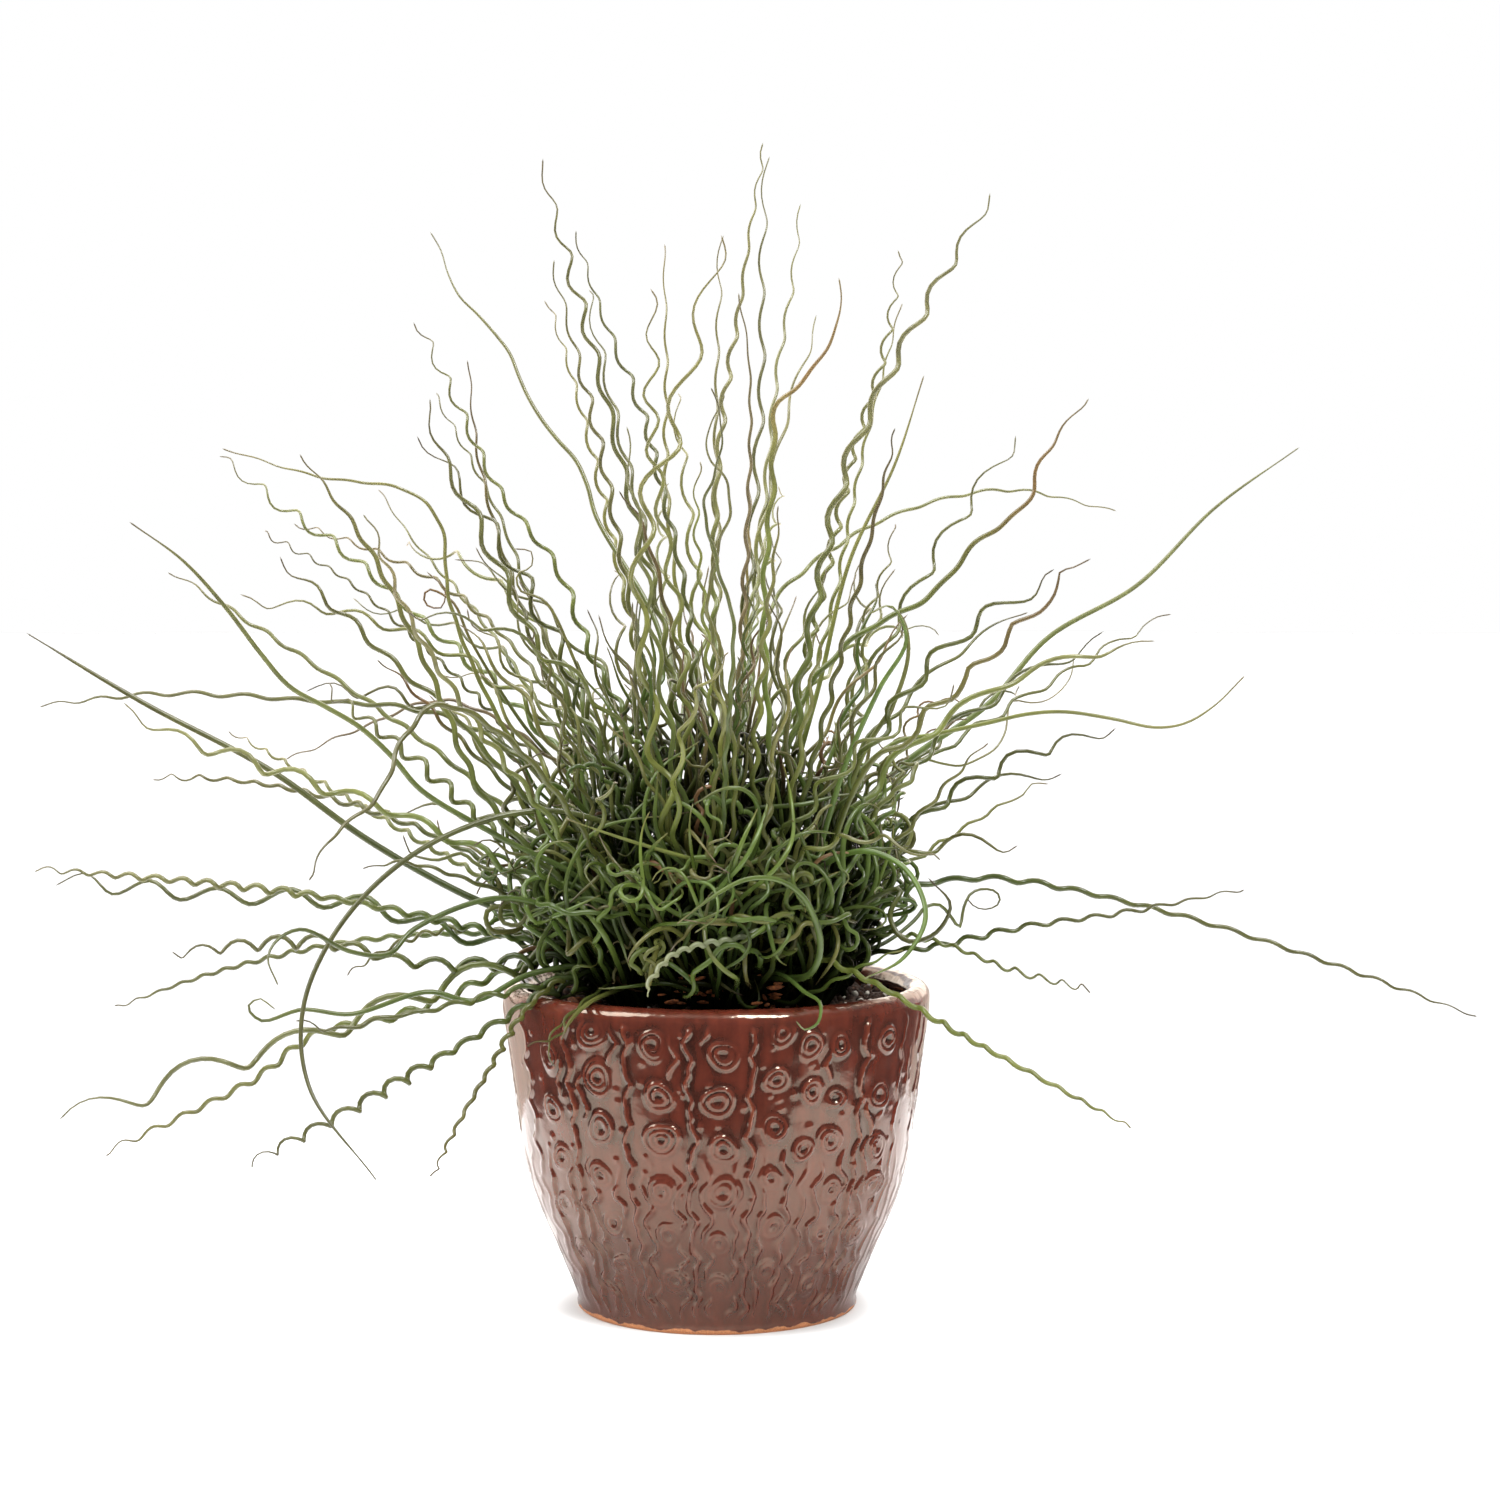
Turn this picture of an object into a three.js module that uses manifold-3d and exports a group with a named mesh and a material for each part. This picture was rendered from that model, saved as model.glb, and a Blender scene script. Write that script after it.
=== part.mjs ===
// A corkscrew rush in a glazed stoneware pot, filled with potting soil.
// Millimetres, +Z up, origin at the centre of the pot's foot. -Y is the side the plant is looked at from.
import * as THREE from "three";
import { mergeVertices } from "three/addons/utils/BufferGeometryUtils.js";
import Module from "manifold-3d";

// Driving dimensions

const POT = {
  height: 146,
  rimRadius: 95,
  rimRoll: 5.5, // radius of the rounded lip, so the lip is 11 mm thick
  wall: 9,
  floor: 9,
  footRound: 1.2, // the small round under the foot's edge
  sides: 32,
  bellySteps: 8,
  lipSteps: 5,
};
// The belly from the foot to just below the lip, as [radius, height]: a narrow waist above the foot, then full.
const BELLY = [[62.4, 1.2], [62.9, 6], [71.5, 28], [79.2, 46], [84.7, 64], [88.4, 86], [91.8, 112], [94.9, 137]];

const SEAT = 0.3; // clearance between pieces that touch
const SOIL = { edge: 135, mound: 6, rings: 3 }; // height at the wall, and how much higher the middle is
const CROWN = {
  ring: 42, // how far the outer crowns stand from the middle one
  radius: 15,
  middleRadius: 16,
  depth: 14,
  base: 0.8, // share of its radius that a crown has at its underside
  dome: 7,
  sides: 9,
  steps: 3,
  spots: 0.8, // share of its radius that stems grow from
};

const STEM = {
  sides: 3,
  perTurn: 2.25, // bends in one turn of a coil
  longStep: 30, // between bends of a plain stem
  shortStep: 12,
  coiled: 1.7, // a coil radius from which the turns are shown
  tip: 0.5, // radius at the very tip
  taper: 2.4,
  rise: 15, // how far a stem goes up before it leans
  firstLean: 0.08, // share of the way to its next point that it leans by then
  root: 3, // how far below the soil its end lies in the crown
  easeIn: 45, // length over which the coil opens up from the root
  plainSteps: 8, // bends in a plain stem, within the two steps above
};
// The further stems, which fill the clump evenly: ranges in degrees, millimetres and shares.
const ARC = { steep: [58, 86], bend: [15, 80], twist: [-50, 50], steps: 6, droop: 1.3 };
const ARC_STEM = { coil: [1.8, 3.6], pitch: [26, 40], radius: [1.4, 1.8] };

// Stems are pushed apart and off the pot until they clear each other, apart from where they are fused.
const SPREAD = {
  passes: 90,
  gap: 0.8,
  fused: 18, // stems of a tuft may touch this near their crown's middle
  tolerance: 0.02,
  checks: 3, // places along a piece that are held clear of the pot
  ownBends: 4, // bends of one stem that are too near along it to be held apart
};
const FULL_TURN = 2 * Math.PI;
const SUNFLOWER = Math.PI * (3 - Math.sqrt(5));
const ANY_WAY = [0.31, -0.9, 0.3]; // a direction that no stem follows at its root
const TINY = 1e-6;

// Where a stem is laid out from: an eye in front of the pot sees every [across, up] point on the
// plane through the pot's axis, and the point then goes back or forward along its line of sight.
const EYE = new THREE.Vector3(15, -1450, 340);

// The tufts of the clump: direction of the crown from the middle in degrees, the direction its further
// stems lean, and how many of those it has, with the shortest and longest of them.
const TUFTS = {
  upright: { middle: true, bearing: 90, fan: 360, extra: 3, lengths: [170, 300] },
  right_low: { bearing: 0, fan: 50, extra: 4, lengths: [110, 190] },
  right_high: { bearing: 45, fan: 50, extra: 5, lengths: [190, 290] },
  back: { bearing: 90, fan: 80, extra: 10, lengths: [210, 330] },
  left_high: { bearing: 135, fan: 50, extra: 5, lengths: [190, 300] },
  left_low: { bearing: 180, fan: 50, extra: 2, lengths: [110, 190] },
  front_left: { bearing: 225, fan: 50, extra: 1, lengths: [120, 200] },
  front: { bearing: 270, fan: 80, extra: 6, lengths: [170, 280] },
  front_right: { bearing: 315, fan: 50, extra: 3, lengths: [150, 260] },
};

// The stems that give the clump its outline. Each is [depth of the tip, coil radius, pitch of the coil,
// radius of the stem, [[across, up], ...] from the tip down to where it joins the others].
const STEMS = {
  upright: [
    [-70, 3.1, 23, 1.7, [[-77, 506], [-64, 459], [-52, 416], [-40, 367], [-23, 297]]],
    [30, 1.8, 18, 1.6, [[-62, 475], [-49, 437], [-33, 398], [-24, 363], [-12, 306]]],
    [-20, 1.8, 20, 1.6, [[-72, 462], [-62, 424], [-52, 385], [-42, 334], [-30, 270]]],
    [140, 1.8, 20, 1.5, [[-74, 446], [-65, 418], [-55, 381], [-46, 341], [-34, 288]]],
    [130, 0, 30, 1.7, [[-124, 474], [-114, 452], [-100, 435], [-83, 403], [-54, 359], [-38, 323],
      [-23, 270]]],
    [-130, 3.1, 26, 1.5, [[-29, 450], [-28, 424], [-29, 397], [-24, 350], [-16, 297]]],
    [10, 1.3, 19, 1.7, [[21, 513], [15, 477], [10, 442], [3, 398], [-1, 332]]],
  ],
  right_low: [
    [-20, 0, 30, 1.6, [[233, 280], [222, 268], [210, 261], [176, 261], [132, 261], [81, 251], [46, 212]]],
    [40, 1.3, 15, 1.5, [[146, 234], [117, 219], [92, 204], [73, 186], [46, 168]]],
    [20, 0.9, 18, 1.8, [[340, 129], [271, 154], [204, 175], [133, 190], [104, 190], [64, 179]]],
    [-60, 1.3, 14, 1.6, [[234, 186], [184, 176], [136, 169], [95, 160], [68, 157]]],
    [-90, 1.8, 11, 1.5, [[166, 141], [131, 150], [100, 162], [73, 166], [46, 157]]],
    [70, 0, 20, 1.5, [[111, 181], [119, 186], [127, 181], [119, 174], [106, 168], [93, 179],
      [84, 170], [73, 161]]],
    [-50, 0.9, 18, 1.5, [[119, 251], [98, 228], [73, 199], [50, 172]]],
  ],
  right_high: [
    [60, 1.8, 16, 1.6, [[81, 468], [78, 446], [72, 416], [61, 381], [50, 332], [37, 270]]],
    [20, 0, 30, 1.6, [[91, 412], [79, 375], [59, 332], [46, 279], [33, 226]]],
    [100, 0, 30, 1.9, [[256, 381], [220, 355], [186, 321], [147, 298], [120, 268], [81, 240], [50, 203]]],
    [170, 2.2, 22, 1.6, [[198, 308], [166, 288], [139, 272], [112, 259], [81, 230], [50, 190]]],
    [200, 0.9, 24, 1.5, [[175, 354], [128, 363], [81, 353], [47, 334], [24, 311], [15, 261]]],
  ],
  back: [
    [170, 0.9, 31, 1.4, [[2, 472], [0, 403], [0, 332], [1, 270]]],
    [110, 1.8, 33, 1.5, [[22, 509], [20, 460], [20, 410], [17, 365], [13, 306]]],
    [160, 1.3, 26, 1.5, [[37, 486], [33, 451], [27, 416], [23, 377], [17, 314]]],
    [40, 0, 20, 1.5, [[-11, 243], [3, 249], [27, 253], [46, 230], [37, 190]]],
  ],
  left_high: [
    [60, 2, 19, 1.6, [[-131, 436], [-115, 403], [-96, 363], [-70, 328], [-56, 292], [-34, 244]]],
    [90, 0.9, 22, 1.5, [[-109, 419], [-107, 392], [-103, 368], [-93, 332], [-74, 279], [-43, 226]]],
    [120, 1.8, 21, 1.6, [[-219, 378], [-192, 356], [-163, 335], [-133, 308], [-96, 275], [-56, 226]]],
    [20, 0.8, 20, 1.5, [[-217, 381], [-176, 369], [-135, 362], [-122, 348], [-118, 314], [-96, 261],
      [-56, 203]]],
    [180, 1.3, 18, 1.5, [[-185, 348], [-146, 334], [-111, 314], [-78, 279], [-47, 226]]],
    [60, 0.9, 20, 1.4, [[-190, 244], [-157, 258], [-121, 270], [-83, 252], [-43, 208]]],
  ],
  left_low: [
    [60, 1, 20, 1.5, [[-241, 327], [-204, 303], [-165, 277], [-121, 245], [-83, 212], [-47, 186]]],
    [-20, 0, 30, 1.9, [[-304, 299], [-254, 269], [-198, 239], [-155, 208], [-113, 184], [-70, 166]]],
    [30, 0.9, 22, 1.5, [[-301, 268], [-247, 273], [-182, 270], [-125, 264], [-87, 244], [-47, 203]]],
    [140, 1.5, 12, 1.5, [[-249, 236], [-218, 235], [-181, 229], [-141, 217], [-96, 195], [-56, 172]]],
    [0, 2.4, 20, 1.6, [[-302, 195], [-230, 189], [-172, 182], [-114, 170], [-70, 159]]],
    [50, 3.4, 30, 1.6, [[-292, 190], [-261, 187], [-219, 183], [-181, 182], [-152, 178], [-118, 167],
      [-70, 157]]],
    [80, 0.7, 12, 1.5, [[-268, 133], [-226, 148], [-178, 160], [-140, 165], [-96, 166], [-56, 159]]],
    [20, 1.8, 20, 1.6, [[-273, 68], [-235, 86], [-206, 101], [-179, 121], [-147, 128], [-124, 136],
      [-97, 148], [-61, 157]]],
  ],
  front_left: [
    [-60, 0.9, 20, 1.5, [[-42, 362], [-34, 350], [-23, 314], [-12, 244]]],
    [-70, 2.7, 27, 1.6, [[-128, 401], [-120, 376], [-105, 348], [-92, 319], [-69, 275], [-38, 226]]],
    [-90, 1, 20, 1.6, [[-183, 378], [-156, 341], [-133, 296], [-121, 268], [-105, 230], [-70, 190],
      [-43, 168]]],
    [-170, 1.5, 20, 1.4, [[-154, 352], [-146, 330], [-133, 301], [-105, 257], [-65, 203]]],
    [-60, 1.8, 24, 1.6, [[-193, 332], [-165, 308], [-138, 282], [-121, 268], [-87, 230], [-52, 195]]],
    [-150, 0, 30, 1.8, [[-258, 348], [-218, 314], [-179, 271], [-134, 233], [-96, 209], [-56, 186]]],
    [-80, 3.1, 27, 1.6, [[-263, 266], [-237, 253], [-204, 242], [-176, 232], [-152, 224], [-114, 207],
      [-70, 181]]],
    [-190, 0.9, 20, 1.5, [[-182, 190], [-172, 208], [-150, 228], [-138, 255], [-123, 268], [-92, 252],
      [-52, 199]]],
    [-40, 2.7, 12, 1.5, [[-173, 275], [-145, 253], [-124, 235], [-106, 218], [-79, 195], [-47, 172]]],
    [-50, 3, 17, 1.6, [[-243, 157], [-208, 161], [-174, 162], [-140, 154], [-114, 152], [-70, 154]]],
    [-160, 0, 20, 1.5, [[-196, 144], [-200, 155], [-196, 163], [-185, 168], [-163, 158], [-146, 157],
      [-135, 168], [-97, 182], [-61, 172]]],
    [-90, 0, 20, 1.5, [[-198, 133], [-204, 137], [-209, 133], [-203, 127], [-185, 132], [-163, 130],
      [-129, 140], [-108, 136], [-83, 148], [-52, 152]]],
    [-70, 5.3, 42, 1.7, [[-289, 83], [-258, 94], [-224, 107], [-186, 118], [-150, 132], [-105, 148],
      [-61, 157]]],
    [-100, 2.2, 13, 1.6, [[-208, 63], [-165, 86], [-129, 107], [-91, 130], [-65, 143], [-43, 150]]],
    [-150, 0.9, 20, 1.6, [[-153, 56], [-182, 97], [-184, 135], [-163, 176], [-124, 208], [-74, 221],
      [-27, 204], [-7, 177]]],
    [-120, 0.9, 12, 1.5, [[-127, 57], [-117, 78], [-101, 106], [-85, 132], [-70, 145], [-43, 152]]],
    [-95, 1.4, 10, 1.8, [[-31, 137], [-28, 149], [-16, 157], [1, 162], [15, 167]]],
    [-110, 0, 20, 1.5, [[-69, 119], [-66, 126], [-57, 135], [-43, 141], [-25, 145]]],
  ],
  front: [
    [-160, 5.3, 38, 1.7, [[3, 474], [-2, 459], [-7, 438], [-12, 418], [-18, 394], [-27, 367],
      [-34, 332], [-30, 270]]],
    [-180, 2.4, 14, 1.5, [[1, 407], [-2, 381], [2, 359], [2, 306], [4, 244]]],
    [-110, 0, 20, 1.6, [[-21, 170], [-5, 183], [9, 190], [28, 191], [41, 179], [43, 159]]],
    [-130, 0, 20, 1.5, [[-9, 167], [0, 174], [-2, 187], [-14, 189], [-24, 176], [-21, 154]]],
    [-80, 0.9, 14, 1.5, [[82, 159], [66, 152], [45, 141], [29, 135], [15, 141]]],
    [-120, 0, 20, 1.5, [[36, 126], [39, 123], [45, 126], [46, 135], [39, 140], [28, 148]]],
    [-60, 0, 20, 1.9, [[24, 242], [28, 225], [29, 203], [24, 168]]],
  ],
  front_right: [
    [-80, 0.9, 24, 1.6, [[54, 455], [54, 438], [41, 414], [27, 400], [25, 368], [21, 314], [24, 244]]],
    [-100, 2.2, 26, 1.7, [[121, 492], [105, 466], [90, 440], [74, 410], [57, 372], [44, 314], [33, 244]]],
    [-90, 1.5, 20, 1.5, [[28, 355], [25, 328], [21, 291], [17, 235]]],
    [-120, 3.1, 27, 1.6, [[163, 332], [143, 313], [125, 295], [108, 279], [92, 264], [77, 244], [50, 199]]],
    [-50, 0.9, 22, 1.6, [[163, 403], [144, 377], [136, 356], [115, 340], [95, 317], [59, 296],
      [33, 261], [24, 203]]],
    [-170, 0.9, 13, 1.6, [[185, 79], [145, 101], [107, 122], [70, 142], [32, 160]]],
    [-130, 0, 20, 1.6, [[66, 146], [83, 155], [93, 174], [84, 195], [64, 203], [41, 190]]],
  ],
};

const wasm = await Module();
wasm.setup();

// Seeded draw between 0 and 1.
function draws(seed) {
  let state = seed;
  return () => {
    state = (state + 0x6d2b79f5) >>> 0;
    let t = Math.imul(state ^ (state >>> 15), 1 | state);
    t = (t + Math.imul(t ^ (t >>> 7), 61 | t)) ^ t;
    return ((t ^ (t >>> 14)) >>> 0) / 4294967296;
  };
}

const between = (draw, low, high) => low + (high - low) * draw();
const radians = THREE.MathUtils.degToRad;

// Materials

const glaze = () => new THREE.MeshStandardMaterial({ color: 0x561b13, roughness: 0.15, metalness: 0 });
const pottingSoil = () => new THREE.MeshStandardMaterial({ color: 0x2b1d14, roughness: 0.95, metalness: 0 });
const greenStem = () => new THREE.MeshStandardMaterial({ color: 0x5c7a3b, roughness: 0.5, metalness: 0 });

// Geometry helpers

// A solid from a closed geometry: shared corners merged and faces that have shrunk to a line left out.
function solidOf(geometry) {
  const bare = geometry.clone();
  bare.deleteAttribute("normal");
  bare.deleteAttribute("uv");
  const merged = mergeVertices(bare);
  const corners = merged.index.array;
  const triVerts = [];
  for (let i = 0; i < corners.length; i += 3) {
    const [a, b, c] = corners.slice(i, i + 3);
    if (a !== b && b !== c && c !== a) triVerts.push(a, b, c);
  }
  const vertProperties = merged.getAttribute("position").array;
  return new wasm.Manifold(new wasm.Mesh({ numProp: 3, vertProperties, triVerts: new Uint32Array(triVerts) }));
}

function geometryOf(solid) {
  const { vertProperties, triVerts } = solid.getMesh();
  return new THREE.BufferGeometry()
    .setAttribute("position", new THREE.BufferAttribute(vertProperties, 3))
    .setIndex(new THREE.BufferAttribute(triVerts, 1));
}

// A body of revolution about Z from [radius, height] pairs that run up the outside.
function turned(profile, sides) {
  const points = profile.map(([radius, height]) => new THREE.Vector2(radius, height));
  return new THREE.LatheGeometry(points, sides).rotateX(Math.PI / 2);
}

function named(name, geometry, material) {
  const mesh = new THREE.Mesh(geometry, material);
  mesh.name = name;
  return mesh;
}

// Pot

const bellyCurve = new THREE.SplineCurve(BELLY.map(([radius, height]) => new THREE.Vector2(radius, height)));
const belly = bellyCurve.getPoints(POT.bellySteps).map((point) => [point.x, point.y]);

// The lip is a half round from the outside over the top to the inside.
function lip() {
  return Array.from({ length: POT.lipSteps }, (_, i) => {
    const turn = (Math.PI * i) / (POT.lipSteps - 1);
    const middle = [POT.rimRadius - POT.rimRoll, POT.height - POT.rimRoll];
    return [middle[0] + POT.rimRoll * Math.cos(turn), middle[1] + POT.rimRoll * Math.sin(turn)];
  });
}

// The inside follows the belly at the wall's thickness, from the top down to the floor.
const innerWall = belly.filter(([, height]) => height > 2 * POT.floor)
  .map(([radius, height]) => [radius - POT.wall, height]).reverse();
const floorRadius = innerWall.at(-1)[0] - POT.floor;

function pot() {
  const foot = [[0, 0], [belly[0][0] - POT.footRound, 0]];
  const inside = [...innerWall, [floorRadius, POT.floor], [0, POT.floor]];
  return named("pot", turned([...foot, ...belly, ...lip(), ...inside], POT.sides), glaze());
}

function bellyRadius(height) {
  const above = belly.findIndex(([, z]) => z > height);
  if (above < 1) return above === 0 ? belly[0][0] : POT.rimRadius;
  const [[r0, z0], [r1, z1]] = [belly[above - 1], belly[above]];
  return r0 + ((r1 - r0) * (height - z0)) / (z1 - z0);
}

// Soil

const soilRadius = bellyRadius(SOIL.edge) - POT.wall - SEAT;

function soilTop(radius) {
  return SOIL.edge + SOIL.mound * Math.cos((Math.min(radius / soilRadius, 1) * Math.PI) / 2);
}

function soil(crowns) {
  const side = innerWall.filter(([, height]) => height < SOIL.edge).reverse()
    .map(([radius, height]) => [radius - SEAT, height]);
  const top = Array.from({ length: SOIL.rings }, (_, i) => {
    const radius = soilRadius * (1 - i / (SOIL.rings - 1));
    return [radius, soilTop(radius)];
  });
  const base = POT.floor + SEAT;
  const profile = [[0, base], [floorRadius - SEAT, base], ...side, ...top];
  const filled = solidOf(turned(profile, POT.sides));
  const holed = crowns.reduce((rest, crown) => rest.subtract(crownHole(crown)), filled);
  return named("soil", geometryOf(holed), pottingSoil());
}

// Crowns: the short rootstock each tuft grows from, standing in a plain hole in the soil

function crownAt(tuft) {
  const reach = tuft.middle ? 0 : CROWN.ring;
  const bearing = radians(tuft.bearing);
  const x = reach * Math.cos(bearing);
  const y = reach * Math.sin(bearing);
  const radius = tuft.middle ? CROWN.middleRadius : CROWN.radius;
  return { x, y, z: soilTop(reach), radius };
}

function crownSolid(crown) {
  const dome = Array.from({ length: CROWN.steps }, (_, i) => {
    const turn = (Math.PI / 2) * (i / (CROWN.steps - 1));
    return [crown.radius * Math.cos(turn), CROWN.dome * Math.sin(turn)];
  });
  const profile = [[0, -CROWN.depth], [crown.radius * CROWN.base, -CROWN.depth], ...dome];
  return solidOf(turned(profile, CROWN.sides).translate(crown.x, crown.y, crown.z));
}

function crownHole(crown) {
  const radius = crown.radius + SEAT;
  const bottom = -CROWN.depth - SEAT;
  const profile = [[0, bottom], [radius, bottom], [radius, CROWN.depth], [0, CROWN.depth]];
  return solidOf(turned(profile, CROWN.sides).translate(crown.x, crown.y, crown.z));
}

// Stems

// The point at a depth that the eye sees at [across, up].
function sighted([across, up], depth) {
  return EYE.clone().lerp(new THREE.Vector3(across, 0, up), (depth - EYE.y) / -EYE.y);
}

// Root places over a crown, spaced in a sunflower spiral.
function rootSpots(crown, count) {
  return Array.from({ length: count }, (_, i) => {
    const angle = i * SUNFLOWER;
    const reach = CROWN.spots * crown.radius * Math.sqrt((i + 0.5) / count);
    return new THREE.Vector3(
      crown.x + reach * Math.cos(angle),
      crown.y + reach * Math.sin(angle),
      crown.z - STEM.root,
    );
  });
}

// Takes the free root place on the side of the crown that a stem leans to: the further out the more it leans.
function takeSpot(spots, crown, lean) {
  const wanted = new THREE.Vector3(crown.x, crown.y, crown.z)
    .add(lean.clone().setZ(0).divideScalar(lean.length()).multiplyScalar(crown.radius));
  spots.sort((a, b) => a.distanceTo(wanted) - b.distanceTo(wanted));
  return spots.shift();
}

// Which way an outline stem leans as it leaves its crown.
function outlineLean(crown, [tipDepth, , , , points]) {
  return sighted(points.at(-1), (crown.y + tipDepth) / 2).sub(new THREE.Vector3(crown.x, crown.y, crown.z));
}

// Path of an outline stem: up from its root, then through its points, going back or forward evenly.
function outlinePath(root, [tipDepth, , , , points]) {
  const upward = points.slice().reverse();
  const start = [root.x, root.z + STEM.rise];
  const lengths = [0];
  [start, ...upward].reduce((a, b) => {
    lengths.push(lengths.at(-1) + Math.hypot(b[0] - a[0], b[1] - a[1]));
    return b;
  });
  const path = upward.map((point, i) => {
    const share = lengths[i + 1] / lengths.at(-1);
    return sighted(point, root.y + (tipDepth - root.y) * share);
  });
  const lean = path[0].clone().sub(root).setZ(0).multiplyScalar(STEM.firstLean);
  return [root, root.clone().add(lean).setZ(root.z + STEM.rise), ...path];
}

// Path of a further stem: it leaves its crown steeply and bends over as it goes out.
function arcPath(draw, root, tuft, bearing) {
  const length = between(draw, ...tuft.lengths);
  const steep = radians(between(draw, ...ARC.steep));
  const bend = radians(between(draw, ...ARC.bend));
  const twist = radians(between(draw, ...ARC.twist));
  const path = [root, root.clone().setZ(root.z + STEM.rise)];
  for (let i = 1; i <= ARC.steps; i++) {
    const rise = steep - bend * (i / ARC.steps) ** ARC.droop;
    const way = bearing + twist * (i / ARC.steps);
    const step = new THREE.Vector3(
      Math.cos(rise) * Math.cos(way),
      Math.cos(rise) * Math.sin(way),
      Math.sin(rise),
    );
    path.push(path.at(-1).clone().addScaledVector(step, length / ARC.steps));
  }
  return path;
}

// Sideways directions carried along a line without turning about it.
function carried(points) {
  const last = points.length - 1;
  let side = new THREE.Vector3(...ANY_WAY);
  return points.map((point, i) => {
    const along = points[Math.min(i + 1, last)].clone().sub(points[Math.max(i - 1, 0)]).normalize();
    side = side.clone().addScaledVector(along, -side.dot(along)).normalize();
    return { side, other: along.clone().cross(side) };
  });
}

// A stem's bends, on a coil about its path that opens up from the root and winds on to the tip.
function coiledLine(path, coil, pitch, phase) {
  const curve = new THREE.CatmullRomCurve3(path, false, "centripetal");
  const length = curve.getLength();
  const plain = THREE.MathUtils.clamp(length / STEM.plainSteps, STEM.shortStep, STEM.longStep);
  const step = coil >= STEM.coiled ? pitch / STEM.perTurn : plain;
  const count = Math.ceil(length / step);
  const spine = curve.getSpacedPoints(count);
  const frames = carried(spine);
  return spine.map((point, i) => {
    const run = (length * i) / count;
    const open = coil * THREE.MathUtils.smoothstep(run, STEM.rise, STEM.rise + STEM.easeIn);
    const turn = phase + (FULL_TURN * run) / pitch;
    return point.clone()
      .addScaledVector(frames[i].side, open * Math.cos(turn))
      .addScaledVector(frames[i].other, open * Math.sin(turn));
  });
}

function stemRadius(base, share) {
  return STEM.tip + (base - STEM.tip) * (1 - share ** STEM.taper);
}

function growTuft(name, tuft, seed) {
  const draw = draws(seed);
  const crown = crownAt(tuft);
  const outline = STEMS[name] ?? [];
  const count = outline.length + tuft.extra;
  const stems = [];
  const spots = rootSpots(crown, count);
  for (let i = 0; i < count; i++) {
    const bearing = radians(tuft.bearing + between(draw, -0.5, 0.5) * tuft.fan);
    const leaning = new THREE.Vector3(Math.cos(bearing), Math.sin(bearing), 1);
    const lean = outline[i] ? outlineLean(crown, outline[i]) : leaning;
    const root = takeSpot(spots, crown, lean);
    const phase = between(draw, 0, FULL_TURN);
    const own = outline[i] ?? [0, ...Object.values(ARC_STEM).map((range) => between(draw, ...range))];
    const path = outline[i] ? outlinePath(root, own) : arcPath(draw, root, tuft, bearing);
    const line = coiledLine(path, own[1], own[2], phase);
    const radii = line.map((_, k) => stemRadius(own[3], k / (line.length - 1)));
    stems.push({ name, crown, line, radii });
  }
  return { name, crown, stems };
}

// Keeping stems clear of each other, the pot and the soil

// The nearest points of two straight pieces a-b and c-d, as shares along them.
function nearest(a, b, c, d) {
  const u = b.clone().sub(a);
  const v = d.clone().sub(c);
  const w = a.clone().sub(c);
  const [uu, uv, vv, uw, vw] = [u.dot(u), u.dot(v), v.dot(v), u.dot(w), v.dot(w)];
  const flat = uu * vv - uv * uv;
  let s = flat > TINY ? THREE.MathUtils.clamp((uv * vw - vv * uw) / flat, 0, 1) : 0.5;
  const t = THREE.MathUtils.clamp((uv * s + vw) / vv, 0, 1);
  s = THREE.MathUtils.clamp((uv * t - uw) / uu, 0, 1);
  return { s, t, apart: w.addScaledVector(u, s).addScaledVector(v, -t) };
}

function piecesOf(stems) {
  return stems.flatMap((stem) => stem.line.slice(1).map((_, i) => ({ stem, i })));
}

// Moves the two ends of a piece so that the point at share s on it moves by push.
function movePiece({ stem, i }, s, push) {
  if (i > 0) stem.line[i].addScaledVector(push, 1 - s);
  stem.line[i + 1].addScaledVector(push, i > 0 ? s : 1);
}

function inCrown({ stem, i }) {
  const tip = stem.line[i];
  return tip.distanceTo(new THREE.Vector3(stem.crown.x, stem.crown.y, stem.crown.z)) < SPREAD.fused;
}

// Pushes two pieces apart where they are nearer than their radii and a gap, and says how far.
function partPieces(one, two) {
  const [a, b] = [one.stem.line[one.i], one.stem.line[one.i + 1]];
  const [c, d] = [two.stem.line[two.i], two.stem.line[two.i + 1]];
  const need = one.stem.radii[one.i] + two.stem.radii[two.i] + SPREAD.gap;
  const reach = need + (one.size + two.size) / 2;
  if (one.middle.distanceToSquared(two.middle) > reach * reach) return 0;
  if (one.stem.crown === two.stem.crown && (inCrown(one) || inCrown(two))) return 0;
  const { s, t, apart } = nearest(a, b, c, d);
  const distance = apart.length();
  if (distance >= need) return 0;
  const way = distance > TINY ? apart.divideScalar(distance) : new THREE.Vector3(0, 0, 1);
  const push = way.multiplyScalar((need - distance) / 2);
  movePiece(one, s, push);
  movePiece(two, t, push.clone().negate());
  return need - distance;
}

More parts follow.
